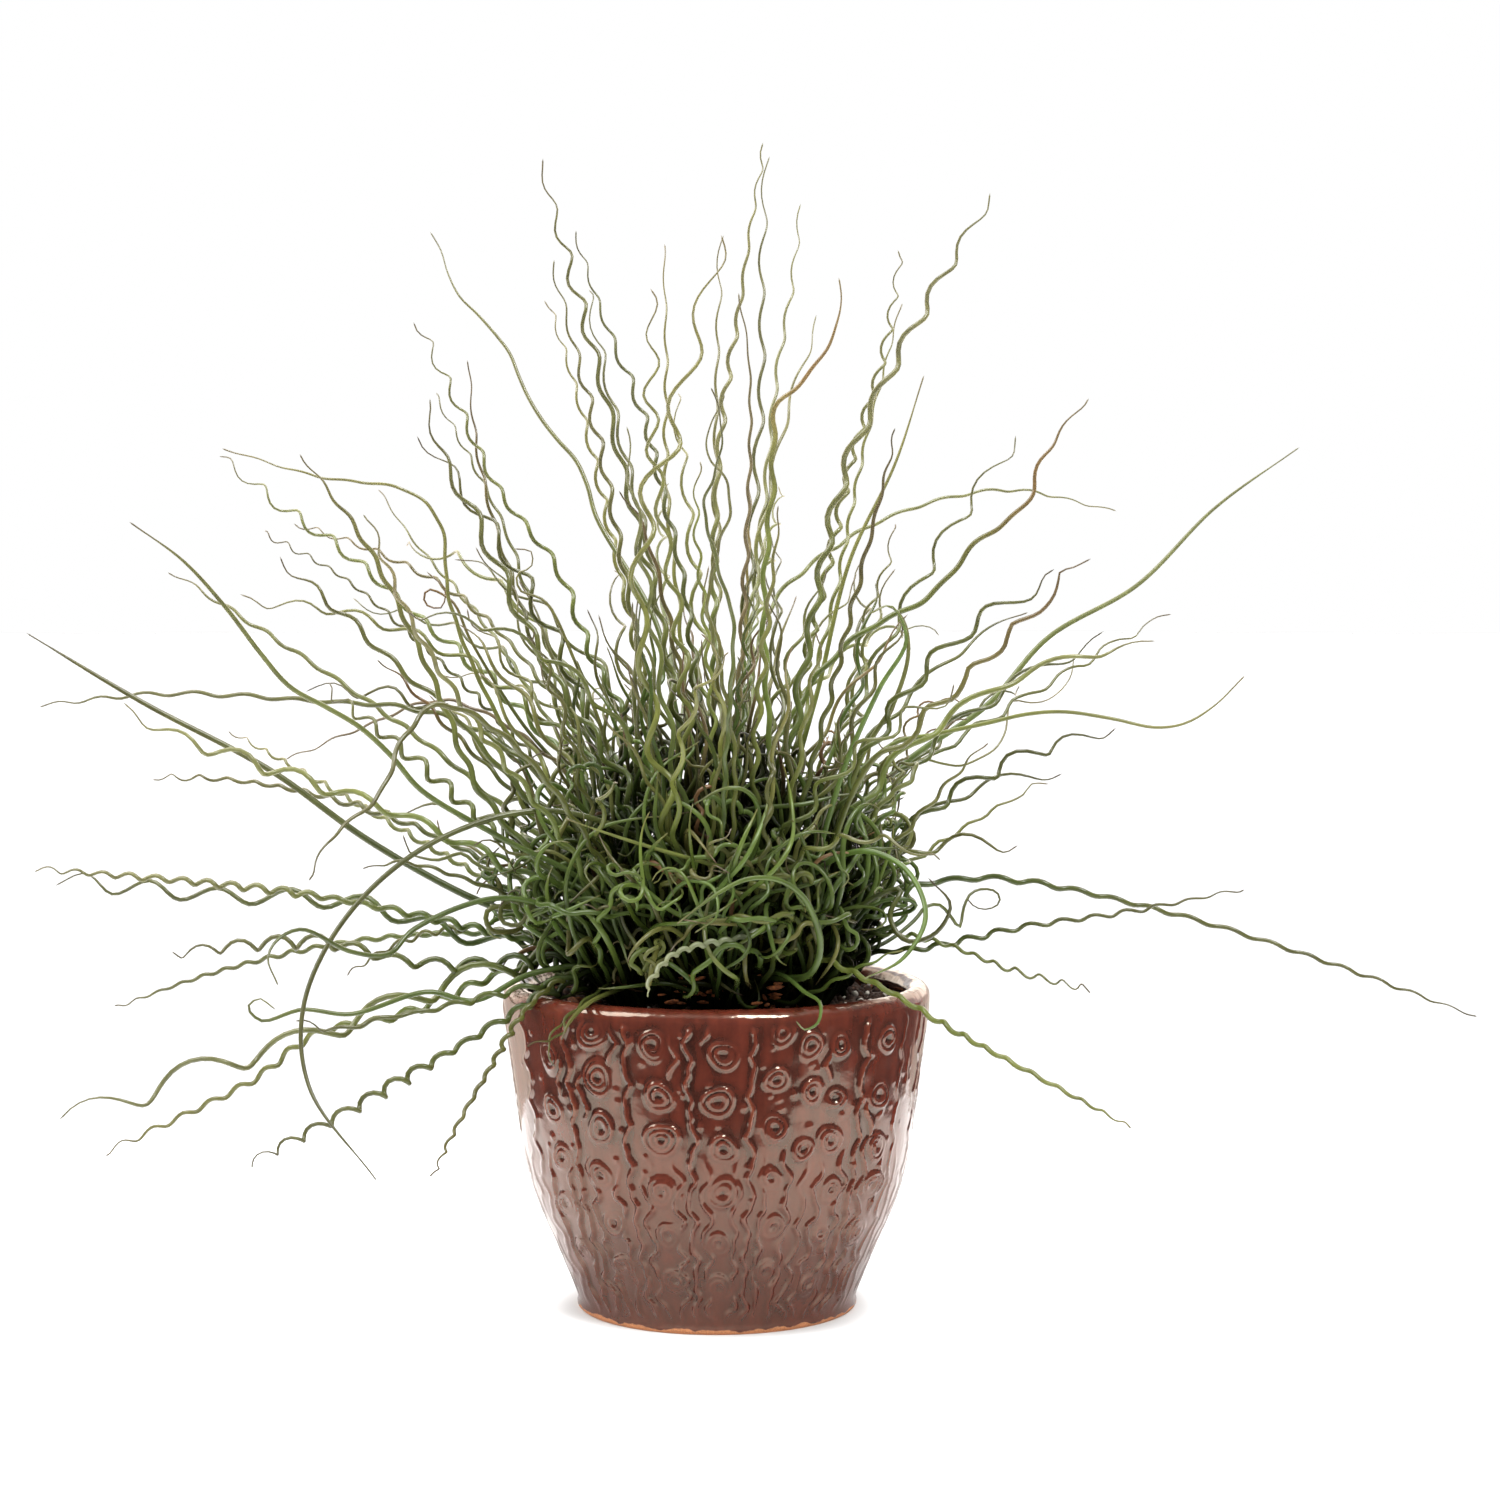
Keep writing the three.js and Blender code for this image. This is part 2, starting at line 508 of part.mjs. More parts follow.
// How far, and which way, a point of a stem has to go to clear the lip, the belly and the soil.
function offPot(point, radius, crown) {
  const out = Math.hypot(point.x, point.y);
  const need = radius + SPREAD.gap;
  const lipOut = out - (POT.rimRadius - POT.rimRoll);
  const lipUp = point.z - (POT.height - POT.rimRoll);
  const fromLip = Math.hypot(lipOut, lipUp);
  const outward = new THREE.Vector3(point.x, point.y, 0).normalize();
  if (fromLip < POT.rimRoll + need) {
    const way = outward.clone().multiplyScalar(lipOut).setZ(Math.max(lipUp, 0.5)).normalize();
    return way.multiplyScalar(POT.rimRoll + need - fromLip);
  }
  if (lipUp < 0 && lipOut > 0) {
    const short = bellyRadius(point.z) + need - out;
    return outward.multiplyScalar(Math.max(short, 0));
  }
  const overOwn = Math.hypot(point.x - crown.x, point.y - crown.y) < crown.radius - 1;
  if (lipOut < 0 && !overOwn) {
    const dome = allCrowns.some((c) => c !== crown && Math.hypot(point.x - c.x, point.y - c.y) < c.radius + need);
    const floor = soilTop(out) + need + (dome ? CROWN.dome : 0);
    return new THREE.Vector3(0, 0, Math.max(floor - point.z, 0));
  }
  return new THREE.Vector3();
}

function clearPot(piece) {
  let furthest = 0;
  for (let k = 0; k < SPREAD.checks; k++) {
    const s = (k + 1) / SPREAD.checks;
    const point = piece.stem.line[piece.i].clone().lerp(piece.stem.line[piece.i + 1], s);
    const push = offPot(point, piece.stem.radii[piece.i], piece.stem.crown);
    if (push.lengthSq() > 0) movePiece(piece, s, push);
    furthest = Math.max(furthest, push.length());
  }
  return furthest;
}

function measure(piece) {
  const [a, b] = [piece.stem.line[piece.i], piece.stem.line[piece.i + 1]];
  piece.middle = a.clone().add(b).multiplyScalar(0.5);
  piece.size = a.distanceTo(b);
}

function spread(stems) {
  const pieces = piecesOf(stems);
  for (let pass = 0; pass < SPREAD.passes; pass++) {
    let furthest = 0;
    pieces.forEach(measure);
    for (let i = 0; i < pieces.length; i++) {
      for (let k = i + 1; k < pieces.length; k++) {
        const near = pieces[i].stem === pieces[k].stem && k - i < SPREAD.ownBends;
        if (!near) furthest = Math.max(furthest, partPieces(pieces[i], pieces[k]));
      }
    }
    for (const piece of pieces) furthest = Math.max(furthest, clearPot(piece));
    if (furthest < SPREAD.tolerance) break;
  }
}

// A closed stem along its bends: a ring of corners at each bend, and a face over each end.
function stemSolid({ line, radii }) {
  const sides = STEM.sides;
  const frames = carried(line);
  const corners = line.flatMap((point, i) => Array.from({ length: sides }, (_, k) => {
    const turn = (FULL_TURN * k) / sides;
    return point.clone()
      .addScaledVector(frames[i].side, radii[i] * Math.cos(turn))
      .addScaledVector(frames[i].other, radii[i] * Math.sin(turn))
      .toArray();
  }).flat());
  const faces = [0, 2, 1];
  for (let i = 0; i < line.length - 1; i++) {
    for (let k = 0; k < sides; k++) {
      const [a, b] = [i * sides + k, i * sides + ((k + 1) % sides)];
      faces.push(a, b, b + sides, a, b + sides, a + sides);
    }
  }
  const end = (line.length - 1) * sides;
  faces.push(end, end + 1, end + 2);
  return new wasm.Manifold(new wasm.Mesh({
    numProp: 3,
    vertProperties: new Float32Array(corners),
    triVerts: new Uint32Array(faces),
  }));
}

function tuftMesh({ name, crown, stems }) {
  const solid = stems.reduce((whole, stem) => whole.add(stemSolid(stem)), crownSolid(crown));
  return named("tuft_" + name, geometryOf(solid), greenStem());
}

// The plant in its pot

const tufts = Object.entries(TUFTS).map(([name, tuft], i) => growTuft(name, tuft, 101 + i));
const allCrowns = tufts.map((tuft) => tuft.crown);
spread(tufts.flatMap((tuft) => tuft.stems));

const rush = new THREE.Group();
rush.name = "corkscrew_rush";
rush.add(pot(), soil(allCrowns), ...tufts.map(tuftMesh));

export default rush;
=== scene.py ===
# A corkscrew rush in a glazed stoneware pot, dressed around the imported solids.
# Shapes are worked out in millimetres and turned to metres when their mesh is made. -Y is the front.
import math
import random

import bpy
import numpy as np
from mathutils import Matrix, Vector, noise


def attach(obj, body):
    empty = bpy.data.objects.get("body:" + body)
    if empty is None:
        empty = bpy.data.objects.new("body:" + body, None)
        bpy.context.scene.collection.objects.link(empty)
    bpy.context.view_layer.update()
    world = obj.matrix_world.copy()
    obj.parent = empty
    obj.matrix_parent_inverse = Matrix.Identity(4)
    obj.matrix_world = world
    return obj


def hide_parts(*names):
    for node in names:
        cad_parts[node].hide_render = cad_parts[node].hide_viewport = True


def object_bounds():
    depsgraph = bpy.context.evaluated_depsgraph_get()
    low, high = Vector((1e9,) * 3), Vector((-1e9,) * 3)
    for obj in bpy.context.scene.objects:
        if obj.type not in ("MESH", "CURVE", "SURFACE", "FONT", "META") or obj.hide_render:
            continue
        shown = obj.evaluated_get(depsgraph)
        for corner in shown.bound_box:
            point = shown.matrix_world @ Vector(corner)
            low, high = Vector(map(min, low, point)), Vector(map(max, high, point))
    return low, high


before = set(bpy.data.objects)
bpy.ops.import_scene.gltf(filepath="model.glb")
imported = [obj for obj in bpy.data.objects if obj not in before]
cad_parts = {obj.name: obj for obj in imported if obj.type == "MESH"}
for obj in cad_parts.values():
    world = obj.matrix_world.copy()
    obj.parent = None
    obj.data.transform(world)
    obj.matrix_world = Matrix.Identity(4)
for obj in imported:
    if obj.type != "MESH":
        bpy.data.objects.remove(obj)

cadBox = [list(corner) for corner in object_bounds()]
mm = 0.001
fullTurn = 2 * math.pi


# Small helpers

def hexToLinear(code):
    channels = [int(code[i:i + 2], 16) / 255 for i in (1, 3, 5)]
    return tuple(c / 12.92 if c <= 0.04045 else ((c + 0.055) / 1.055) ** 2.4 for c in channels) + (1.0,)


def smoothStep(value, low, high):
    share = np.clip((value - low) / (high - low), 0, 1)
    return share * share * (3 - 2 * share)


# Adds a node. Settings are the node's own properties, and links are values or other nodes' outputs.
def addNode(tree, kind, settings={}, links={}):
    node = tree.nodes.new("ShaderNode" + kind)
    for name, value in settings.items():
        if name == "stops":
            ramp = node.color_ramp.elements
            while len(ramp) < len(value):
                ramp.new(0.5)
            for stop, (place, code) in zip(ramp, value):
                stop.position = place
                stop.color = hexToLinear(code)
        else:
            setattr(node, name, value)
    for name, value in links.items():
        if isinstance(value, bpy.types.NodeSocket):
            tree.links.new(value, node.inputs[name])
        else:
            node.inputs[name].default_value = value
    return node


def startMaterial(name):
    material = bpy.data.materials.new(name)
    material.use_nodes = True
    material.node_tree.nodes.clear()
    return material, material.node_tree


def finishMaterial(tree, links):
    skin = addNode(tree, "BsdfPrincipled", {}, links)
    addNode(tree, "OutputMaterial", {}, {"Surface": skin.outputs[0]})


def makePiece(name, verts, faces, material, slot, replaced, values={}):
    mesh = bpy.data.meshes.new(name)
    mesh.from_pydata((np.asarray(verts) * mm).tolist(), [], faces)
    for title, data in values.items():
        if data.ndim == 1:
            mesh.attributes.new(title, "FLOAT", "POINT").data.foreach_set("value", data.astype(np.float32))
        else:
            mesh.color_attributes.new(title, "FLOAT_COLOR", "POINT").data.foreach_set(
                "color", data.astype(np.float32).ravel())
    mesh.shade_smooth()
    mesh.materials.append(material)
    piece = bpy.data.objects.new(name, mesh)
    bpy.context.scene.collection.objects.link(piece)
    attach(piece, "root")
    if replaced:
        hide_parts(*replaced)
    print(f"{name}: {sum(len(face) - 2 for face in faces)} triangles")


# A smooth line through points, as the solids' own stems and belly run: Catmull-Rom, centripetal.
def smoothLine(points, perSpan=24):
    p = np.asarray(points, float)
    p = np.vstack([2 * p[0] - p[1], p, 2 * p[-1] - p[-2]])
    gaps = np.maximum(np.linalg.norm(np.diff(p, axis=0), axis=1) ** 0.5, 1e-4)
    t = np.linspace(0, 1, perSpan, endpoint=False)[:, None]
    spans = []
    for i in range(1, len(p) - 2):
        d0, d1, d2 = gaps[i - 1:i + 2]
        a = (p[i] - p[i - 1]) / d0 - (p[i + 1] - p[i - 1]) / (d0 + d1) + (p[i + 1] - p[i]) / d1
        b = (p[i + 1] - p[i]) / d1 - (p[i + 2] - p[i]) / (d1 + d2) + (p[i + 2] - p[i + 1]) / d2
        a, b = a * d1, b * d1
        rise = 3 * (p[i + 1] - p[i]) - 2 * a - b
        turn = 2 * (p[i] - p[i + 1]) + a + b
        spans.append(p[i] + a * t + rise * t ** 2 + turn * t ** 3)
    return np.vstack(spans + [p[-2]])


# Points at even steps along a line.
def evenly(line, count):
    run = np.concatenate([[0], np.cumsum(np.linalg.norm(np.diff(line, axis=0), axis=1))])
    at = np.linspace(0, run[-1], count)
    return np.column_stack([np.interp(at, run, line[:, k]) for k in range(line.shape[1])]), at


# The same seeded draw between 0 and 1 as the solids' stems are laid out with.
def draws(seed):
    state = seed
    whole = 0xFFFFFFFF

    def draw(low=0.0, high=1.0):
        nonlocal state
        state = (state + 0x6D2B79F5) & whole
        t = ((state ^ (state >> 15)) * (1 | state)) & whole
        t = ((t + (((t ^ (t >> 7)) * (61 | t)) & whole)) & whole) ^ t
        return low + (high - low) * ((t ^ (t >> 14)) & whole) / (whole + 1)
    return draw


# Noise between -1 and 1 at places whose three coordinates are arrays.
def noiseAt(x, y, z):
    x, y, z = np.broadcast_arrays(x, y, z)
    return np.array([noise.noise(Vector(p)) for p in zip(x.ravel(), y.ravel(), z.ravel())]).reshape(x.shape)


# Slow wobble along a line, mostly between -1 and 1.
def wobble(run, length, seed):
    return noiseAt(run / length, seed * 7.31, 0.5) * 1.6   # 7.31 keeps the seeds' noise well apart


# Pot

pot = {
    "rimRadius": 95, "height": 145, "rimRoll": 5.5, "wall": 9, "floor": 9, "footRound": 1.2,
    "belly": [(62.4, 1.2), (62.9, 6), (71.5, 28), (79.2, 46), (84.7, 64), (88.4, 86), (91.8, 112),
              (94.9, 136), (95, 139.5)],
    "around": 610, "bellyRows": 147, "fineSteps": 1200,
    "crowding": 0.25,   # rows and corners stand closer together towards the rim and the front
    "lipRows": 10, "wallRows": 3, "wallStart": 4,   # the wall inside starts this far under the lip's middle
    "uneven": 0.35, "unevenSize": (2, 40), "evenFoot": 3,   # thrown by hand: waves to a radian, height of one
    "lipLumps": 0.3, "lipSinks": 0.8,
    "lumpSizes": [(13, 1.5, 1), (34, 3, 0.5)],   # waves to a radian round the lip and over it, and strength
}
rimMiddle = (pot["rimRadius"] - pot["rimRoll"], pot["height"] - pot["rimRoll"])
bellyLine = smoothLine(pot["belly"])


def bellyRadius(height):
    return np.interp(height, bellyLine[:, 1], bellyLine[:, 0])


# Relief stamped in the clay: degrees from the front of each column of spirals, and the spirals' heights.
# The columns are 18 degrees apart, with one squeezed in where the pattern meets itself.
relief = {
    "frontColumns": {
        -50.5: [120, 97, 76, 55, 34], -33.4: [134, 114, 92, 71, 50, 30], -15: [130, 108, 89, 66, 46, 25],
        2: [126, 106, 85.5, 66, 43, 22], 17: [135, 115, 94, 72, 50, 29], 26: [129, 109, 84],
        34.5: [128, 105, 86.5, 64.5, 44.6, 21], 52: [127.6, 103.4, 80, 63, 42],
    },
    "squeezedIn": 26, "crowded": (17, 26, 34.5), "crowdedSize": 0.84,
    "plainColumns": [-96, -74, 68, 84],   # ridges alone, at the sides
    "columnStep": 18, "firstBack": 100, "lastBack": 260,
    "topRow": (122, 135), "rowStep": 20.5, "lowestRow": 20,
    "astray": 1.2, "rowAstray": 2,   # degrees and millimetres that a spiral may be off its place
    "height": 1.5, "softest": 0.82, "softens": (30, 82),   # lower towards the foot
    "foot": (3, 13), "rim": (134.5, 139),   # it begins and ends between these heights
    "calm": (54, 62, 92, 104), "calmShare": 0.72,   # degrees where it lies low, and by how much
    "lumps": 0.12, "lumpSize": (11, 8),   # height, and waves to a radian and height of one
    "pimples": 330, "pimpleSize": (0.7, 1.5), "pimpleHeight": 0.55, "pimplesBetween": (60, 137.5),
    "pimpleReach": 3, "seed": 11,
}
# A spiral is a thin raised line, wound or in rings, about a boss with a dimple in it.
spiral = {
    "small": 5.4, "large": 7.0, "grows": (20, 95), "sizes": (0.86, 1.12),   # radius near the foot and the rim
    "winding": 0.4,   # share that wind
    "lineStep": 2.5, "lineHalf": 0.95, "lineInset": 0.9, "lineStarts": (1.2, 2.4), "lineEnds": (-0.7, 0.9),
    "boss": (2.0, 0.7), "dimple": (1.1, 1.3), "bossReach": 4,   # radius and height
    "strength": (0.85, 1.15), "lopsided": (0.72, 0.42),   # pressed deeper on one side
    "outOfRound": (0.08, 0.05), "clears": (-0.2, 1.6), "bows": (1.3, 3.2),   # bows the ridges round it aside
}
# Ridges run down between the columns in a zigzag. Low on the belly there are more of them, and finer ones.
ridges = {
    "height": 1.4, "half": 1.25, "bowed": 0.7, "zigzag": 2.2, "zigzagLength": 17.5,
    "shake": 0.7, "shakeLength": 9, "steady": (0.05, 0.3),   # they wander less close to a column
    "lowHeight": 1.4, "lowHalf": 0.95, "lowEach": 3, "lowWave": 1.1, "lowWaveLength": 18, "lowEnds": (58, 84),
    "patch": (1.7, 30), "lowPatches": (-0.6, -0.2), "strokes": (0.25, 0.45),   # the fine ones are broken up
    "seam": (0.1, 0.2),   # and the others stop short of the squeezed column
}


def spiralPlaces():
    rng = random.Random(relief["seed"])
    astray, rowAstray = relief["astray"], relief["rowAstray"]
    columns = dict(relief["frontColumns"])
    for degrees in range(relief["firstBack"], relief["lastBack"] + 1, relief["columnStep"]):
        top = rng.uniform(*relief["topRow"])
        count = int((top - relief["lowestRow"]) / relief["rowStep"]) + 1
        columns[degrees + rng.uniform(-astray, astray)] = [
            top - i * relief["rowStep"] + rng.uniform(-rowAstray, rowAstray) for i in range(count)]
    places = []
    for degrees, heights in columns.items():
        for height in heights:
            share = float(smoothStep(height, *spiral["grows"]))
            radius = spiral["small"] + (spiral["large"] - spiral["small"]) * share
            crowded = relief["crowdedSize"] if degrees in relief["crowded"] else 1
            radius *= crowded * rng.uniform(*spiral["sizes"])
            places.append((math.radians(degrees + rng.uniform(-astray, astray)), height, radius,
                           rng.uniform(0, fullTurn), rng.choice((-1, 1)) * (rng.random() < spiral["winding"]),
                           rng.uniform(*spiral["strength"])))
    middles = sorted((degrees + 180) % 360 - 180 for degrees in [*columns, *relief["plainColumns"]]
                     if degrees != relief["squeezedIn"])
    return places, np.radians(middles)


# Height of the spirals, how far inside one each place is, and how far sideways they bow the ridges.
def stampSpirals(places, angle, height, radius):
    stamped, inside, bowed = (np.zeros_like(angle) for _ in range(3))
    (bossSize, bossHeight), (dimpleSize, dimpleDepth) = spiral["boss"], spiral["dimple"]
    (inner, outer), (level, tilt) = spiral["bows"], spiral["lopsided"]
    for middle, middleHeight, size, start, hand, strength in places:
        across = ((angle - middle + math.pi) % fullTurn - math.pi) * radius
        up = height - middleHeight
        reach = np.hypot(across, up)
        near = reach < size * outer
        across, turn = across[near], np.arctan2(up[near], across[near])
        oval, triangle = (share * np.sin(k * turn + phase * start) for share, k, phase in zip(
            spiral["outOfRound"], (2, 3), (1, 5)))
        out = reach[near] * (1 + oval + triangle)
        fade = 1 - smoothStep(out, size * inner, size * outer)
        bowed[near] -= across * size ** 2 / np.maximum(out, size) ** 2 * fade
        wound = start - hand * turn if hand else 0
        arm = ((out - size + spiral["lineInset"]) / spiral["lineStep"] + wound / fullTurn) % 1
        off = np.minimum(arm, 1 - arm) * spiral["lineStep"]
        line = np.exp(-(off / spiral["lineHalf"]) ** 2)
        starts, ends = spiral["lineEnds"]
        line *= smoothStep(out, *spiral["lineStarts"]) * (1 - smoothStep(out, size + starts, size + ends))
        line *= level + tilt * np.sin(turn + 3 * start)
        boss = np.exp(-(out / bossSize) ** 2) * bossHeight - np.exp(-(out / dimpleSize) ** 2) * dimpleDepth
        boss = boss * strength * (out < spiral["bossReach"])
        stamped[near] = np.maximum(stamped[near], line * strength) + boss
        starts, ends = spiral["clears"]
        inside[near] = np.maximum(inside[near], 1 - smoothStep(out, size + starts, size + ends))
    return stamped, inside, bowed


# Height of the ridges. The phases 0.37, 3 and 2.3 only set each ridge's wander off from the next one's.
def ridgeHeight(wrapped, height, radius, middles, bowed):
    width = radius * math.radians(relief["columnStep"])
    ends = np.concatenate([[middles[-1] - fullTurn], middles, [middles[0] + fullTurn]])
    column = np.interp(wrapped, ends, np.arange(len(ends)) - 1.0)
    beat = (height / ridges["zigzagLength"] + 0.37 * np.floor(column)) % 1
    wave = ridges["zigzag"] * (1 - 4 * np.abs(beat - 0.5))
    wave += ridges["shake"] * np.sin(height / ridges["shakeLength"] * fullTurn + 3 * np.floor(column))
    wave *= smoothStep(0.5 - np.abs(column % 1 - 0.5), *ridges["steady"])
    flow = column + (ridges["bowed"] * bowed + wave) / width
    single = np.abs(flow % 1 - 0.5) * width
    each = ridges["lowEach"]
    bent = flow * each + ridges["lowWave"] / width * each * np.sin(
        height / ridges["lowWaveLength"] * fullTurn + 2.3 * np.floor(flow * each))
    packed = np.abs(bent % 1 - 0.5) * width / each
    patchy = noiseAt(np.floor(bent) * ridges["patch"][0], height / ridges["patch"][1], 3.0)
    low = 1 - smoothStep(height, *ridges["lowEnds"])
    seam = smoothStep(np.abs(wrapped - math.radians(relief["squeezedIn"])), *ridges["seam"])
    long = np.exp(-(single / ridges["half"]) ** 2) * ridges["height"] * seam
    kept = low * smoothStep(patchy, *ridges["lowPatches"])
    kept = kept + (1 - low) * smoothStep(patchy, *ridges["strokes"])
    fine = np.exp(-(packed / ridges["lowHalf"]) ** 2) * ridges["lowHeight"] * kept
    return np.maximum(long, fine)


# Height of the whole relief, in millimetres, at angles and heights on the belly.
def reliefHeight(angle, height):
    places, middles = spiralPlaces()
    radius = bellyRadius(height)
    wrapped = (angle + math.pi) % fullTurn - math.pi
    stamped, inside, bowed = stampSpirals(places, angle, height, radius)
    ridged = ridgeHeight(wrapped, height, radius, middles, bowed) * (1 - inside)
    waves, tall = relief["lumpSize"]
    lumps = noiseAt(np.sin(angle) * waves, np.cos(angle) * waves, height / tall)
    whole = np.maximum(stamped, ridged) + relief["lumps"] * lumps
    rng = random.Random(relief["seed"] + 1)
    for _ in range(relief["pimples"]):
        middle, level = rng.uniform(-math.pi, math.pi), rng.uniform(*relief["pimplesBetween"])
        size, tall = rng.uniform(*relief["pimpleSize"]), relief["pimpleHeight"] * rng.uniform(0.5, 1)
        far = relief["pimpleReach"] * size
        near = (np.abs(height - level) < far) & (np.abs(wrapped - middle) * radius < far)
        reach = np.hypot((wrapped[near] - middle) * radius[near], height[near] - level)
        whole[near] += tall * np.exp(-(reach / size) ** 2) * (1 - inside[near])
    turned = np.abs(np.degrees(wrapped))
    calm = smoothStep(turned, *relief["calm"][:2]) * (1 - smoothStep(turned, *relief["calm"][2:]))
    whole = whole * (1 - relief["calmShare"] * calm)
    soft = relief["softest"] + (1 - relief["softest"]) * smoothStep(height, *relief["softens"])
    ends = smoothStep(height, *relief["foot"]) * (1 - smoothStep(height, *relief["rim"]))
    return whole * relief["height"] * soft * ends


# Oxblood glaze, dipped and fired on stoneware: a glassy skin, dark red-brown where it lies thick,
# orange-brown where it breaks thin over the relief, near black where it pools. Bare buff clay at the foot.
oxbloodGlaze = {
    "thickness": [(0.0, "#1c0d0b"), (0.28, "#3b1811"), (0.5, "#59251a"), (0.74, "#6c3621"), (1.0, "#8c5a3e")],
    "sheen": "#fff1da", "ior": 1.7, "roughness": 0.13,
    "streakWidth": 6, "streakLength": 60, "streaks": (-0.21, -0.02),   # runs, where it lies thicker
    "settled": (70, 105), "lowStreaks": 0.45,   # the runs weaken between these heights, to this share
    "speckle": 1.4, "speckles": 0.02, "ripple": 4, "rippleDepth": 0.5, "rippled": 0.12,
    "bareHeight": 1.7, "fadeHeight": 0.4, "lick": 7, "lickHeight": 0.9,   # it ends in an uneven line
    "clay": [(0.3, "#8f5937"), (0.7, "#b9794f")], "clayGrain": 0.6, "clayRoughness": 0.85,
}
noiseLow, noiseHigh = 0.3, 0.7   # nearly all of a noise node's values lie between these


def makeOxbloodGlaze():
    look = oxbloodGlaze
    material, tree = startMaterial("oxbloodGlazeOnStoneware")
    place = addNode(tree, "TexCoord").outputs["Object"]
    thin = addNode(tree, "Attribute", {"attribute_name": "glazeThin"}).outputs["Fac"]
    width, length = look["streakWidth"] * mm, look["streakLength"] * mm
    stretched = addNode(tree, "Mapping", {}, {
        "Vector": place, "Scale": (1 / width, 1 / width, 1 / length)})
    streaks = addNode(tree, "TexNoise", {}, {
        "Vector": stretched.outputs[0], "Scale": 1.0, "Detail": 2.0, "Roughness": 0.5})
    speckle = addNode(tree, "TexNoise", {}, {
        "Vector": place, "Scale": 1 / (look["speckle"] * mm), "Detail": 3.0})
    run = addNode(tree, "MapRange", {}, {
        "Value": streaks.outputs["Fac"], "From Min": noiseLow, "From Max": noiseHigh,
        "To Min": look["streaks"][0], "To Max": look["streaks"][1]})
    height = addNode(tree, "SeparateXYZ", {}, {"Vector": place}).outputs["Z"]
    settled = addNode(tree, "MapRange", {"interpolation_type": "SMOOTHSTEP"}, {
        "Value": height, "From Min": look["settled"][0] * mm, "From Max": look["settled"][1] * mm,
        "To Min": look["lowStreaks"], "To Max": 1.0})
    drips = addNode(tree, "Math", {"operation": "MULTIPLY"}, {0: run.outputs[0], 1: settled.outputs[0]})
    grain = addNode(tree, "MapRange", {}, {
        "Value": speckle.outputs["Fac"], "From Min": noiseLow, "From Max": noiseHigh,
        "To Min": -look["speckles"], "To Max": look["speckles"]})
    laid = addNode(tree, "Math", {"operation": "ADD"}, {0: thin, 1: drips.outputs[0]})
    depth = addNode(tree, "Math", {"operation": "ADD"}, {0: laid.outputs[0], 1: grain.outputs[0]})
    fired = addNode(tree, "ValToRGB", {"stops": look["thickness"]}, {"Fac": depth.outputs[0]})
    lick = addNode(tree, "TexNoise", {}, {"Vector": place, "Scale": 1 / (look["lick"] * mm), "Detail": 2.0})
    lift = addNode(tree, "MapRange", {}, {
        "Value": lick.outputs["Fac"], "From Min": noiseLow, "From Max": noiseHigh,
        "To Min": -look["lickHeight"] * mm, "To Max": look["lickHeight"] * mm})
    line = addNode(tree, "Math", {"operation": "ADD"}, {0: height, 1: lift.outputs[0]})
    glazed = addNode(tree, "MapRange", {}, {
        "Value": line.outputs[0], "From Min": look["bareHeight"] * mm,
        "From Max": (look["bareHeight"] + look["fadeHeight"]) * mm})
    clayGrain = addNode(tree, "TexNoise", {}, {"Vector": place, "Scale": 1 / (look["clayGrain"] * mm)})
    clay = addNode(tree, "ValToRGB", {"stops": look["clay"]}, {"Fac": clayGrain.outputs["Fac"]})
    colour = addNode(tree, "Mix", {"data_type": "RGBA"}, {   # inputs 6 and 7 and output 2 are its colours
        "Factor": glazed.outputs[0], 6: clay.outputs[0], 7: fired.outputs[0]})
    shine = addNode(tree, "MapRange", {}, {
        "Value": glazed.outputs[0], "To Min": look["clayRoughness"], "To Max": look["roughness"]})
    ripple = addNode(tree, "TexNoise", {}, {
        "Vector": place, "Scale": 1 / (look["ripple"] * mm), "Detail": 2.0})
    skin = addNode(tree, "Bump", {}, {
        "Strength": look["rippled"], "Distance": look["rippleDepth"] * mm, "Height": ripple.outputs["Fac"]})
    finishMaterial(tree, {"Base Color": colour.outputs[2], "Roughness": shine.outputs[0], "IOR": look["ior"],
                          "Specular Tint": hexToLinear(look["sheen"]), "Normal": skin.outputs[0]})
    return material


# A grid of rings closed round Z, with a middle point at each end.
def turnedFaces(rows, around):
    faces = []
    for i in range(rows - 1):
        a = 1 + i * around
        faces += [(a + k, a + (k + 1) % around, a + around + (k + 1) % around, a + around + k)
                  for k in range(around)]
    last = 1 + (rows - 1) * around
    faces += [(0, 1 + (k + 1) % around, 1 + k) for k in range(around)]
    faces += [(last + around, last + k, last + (k + 1) % around) for k in range(around)]
    return faces


# How thin the glaze lies, from 0 where it pools to 1 where it breaks. It thins where the clay stands proud of
# its surroundings and pools beside it. Each step is an amount and the heights between which it comes in.
glazeLies = {
    "even": 0.5, "onRelief": 0.03, "onHighRelief": (0.12, 60, 95),
    "pools": 3.2, "widths": (1, 2, 3),   # how much more it pools than it breaks, and over how many corners
    "thinLip": (0.05, 138, 142), "darkerFoot": (0.05, 15, 80), "thickWaist": (0.03, 76, 98),
}


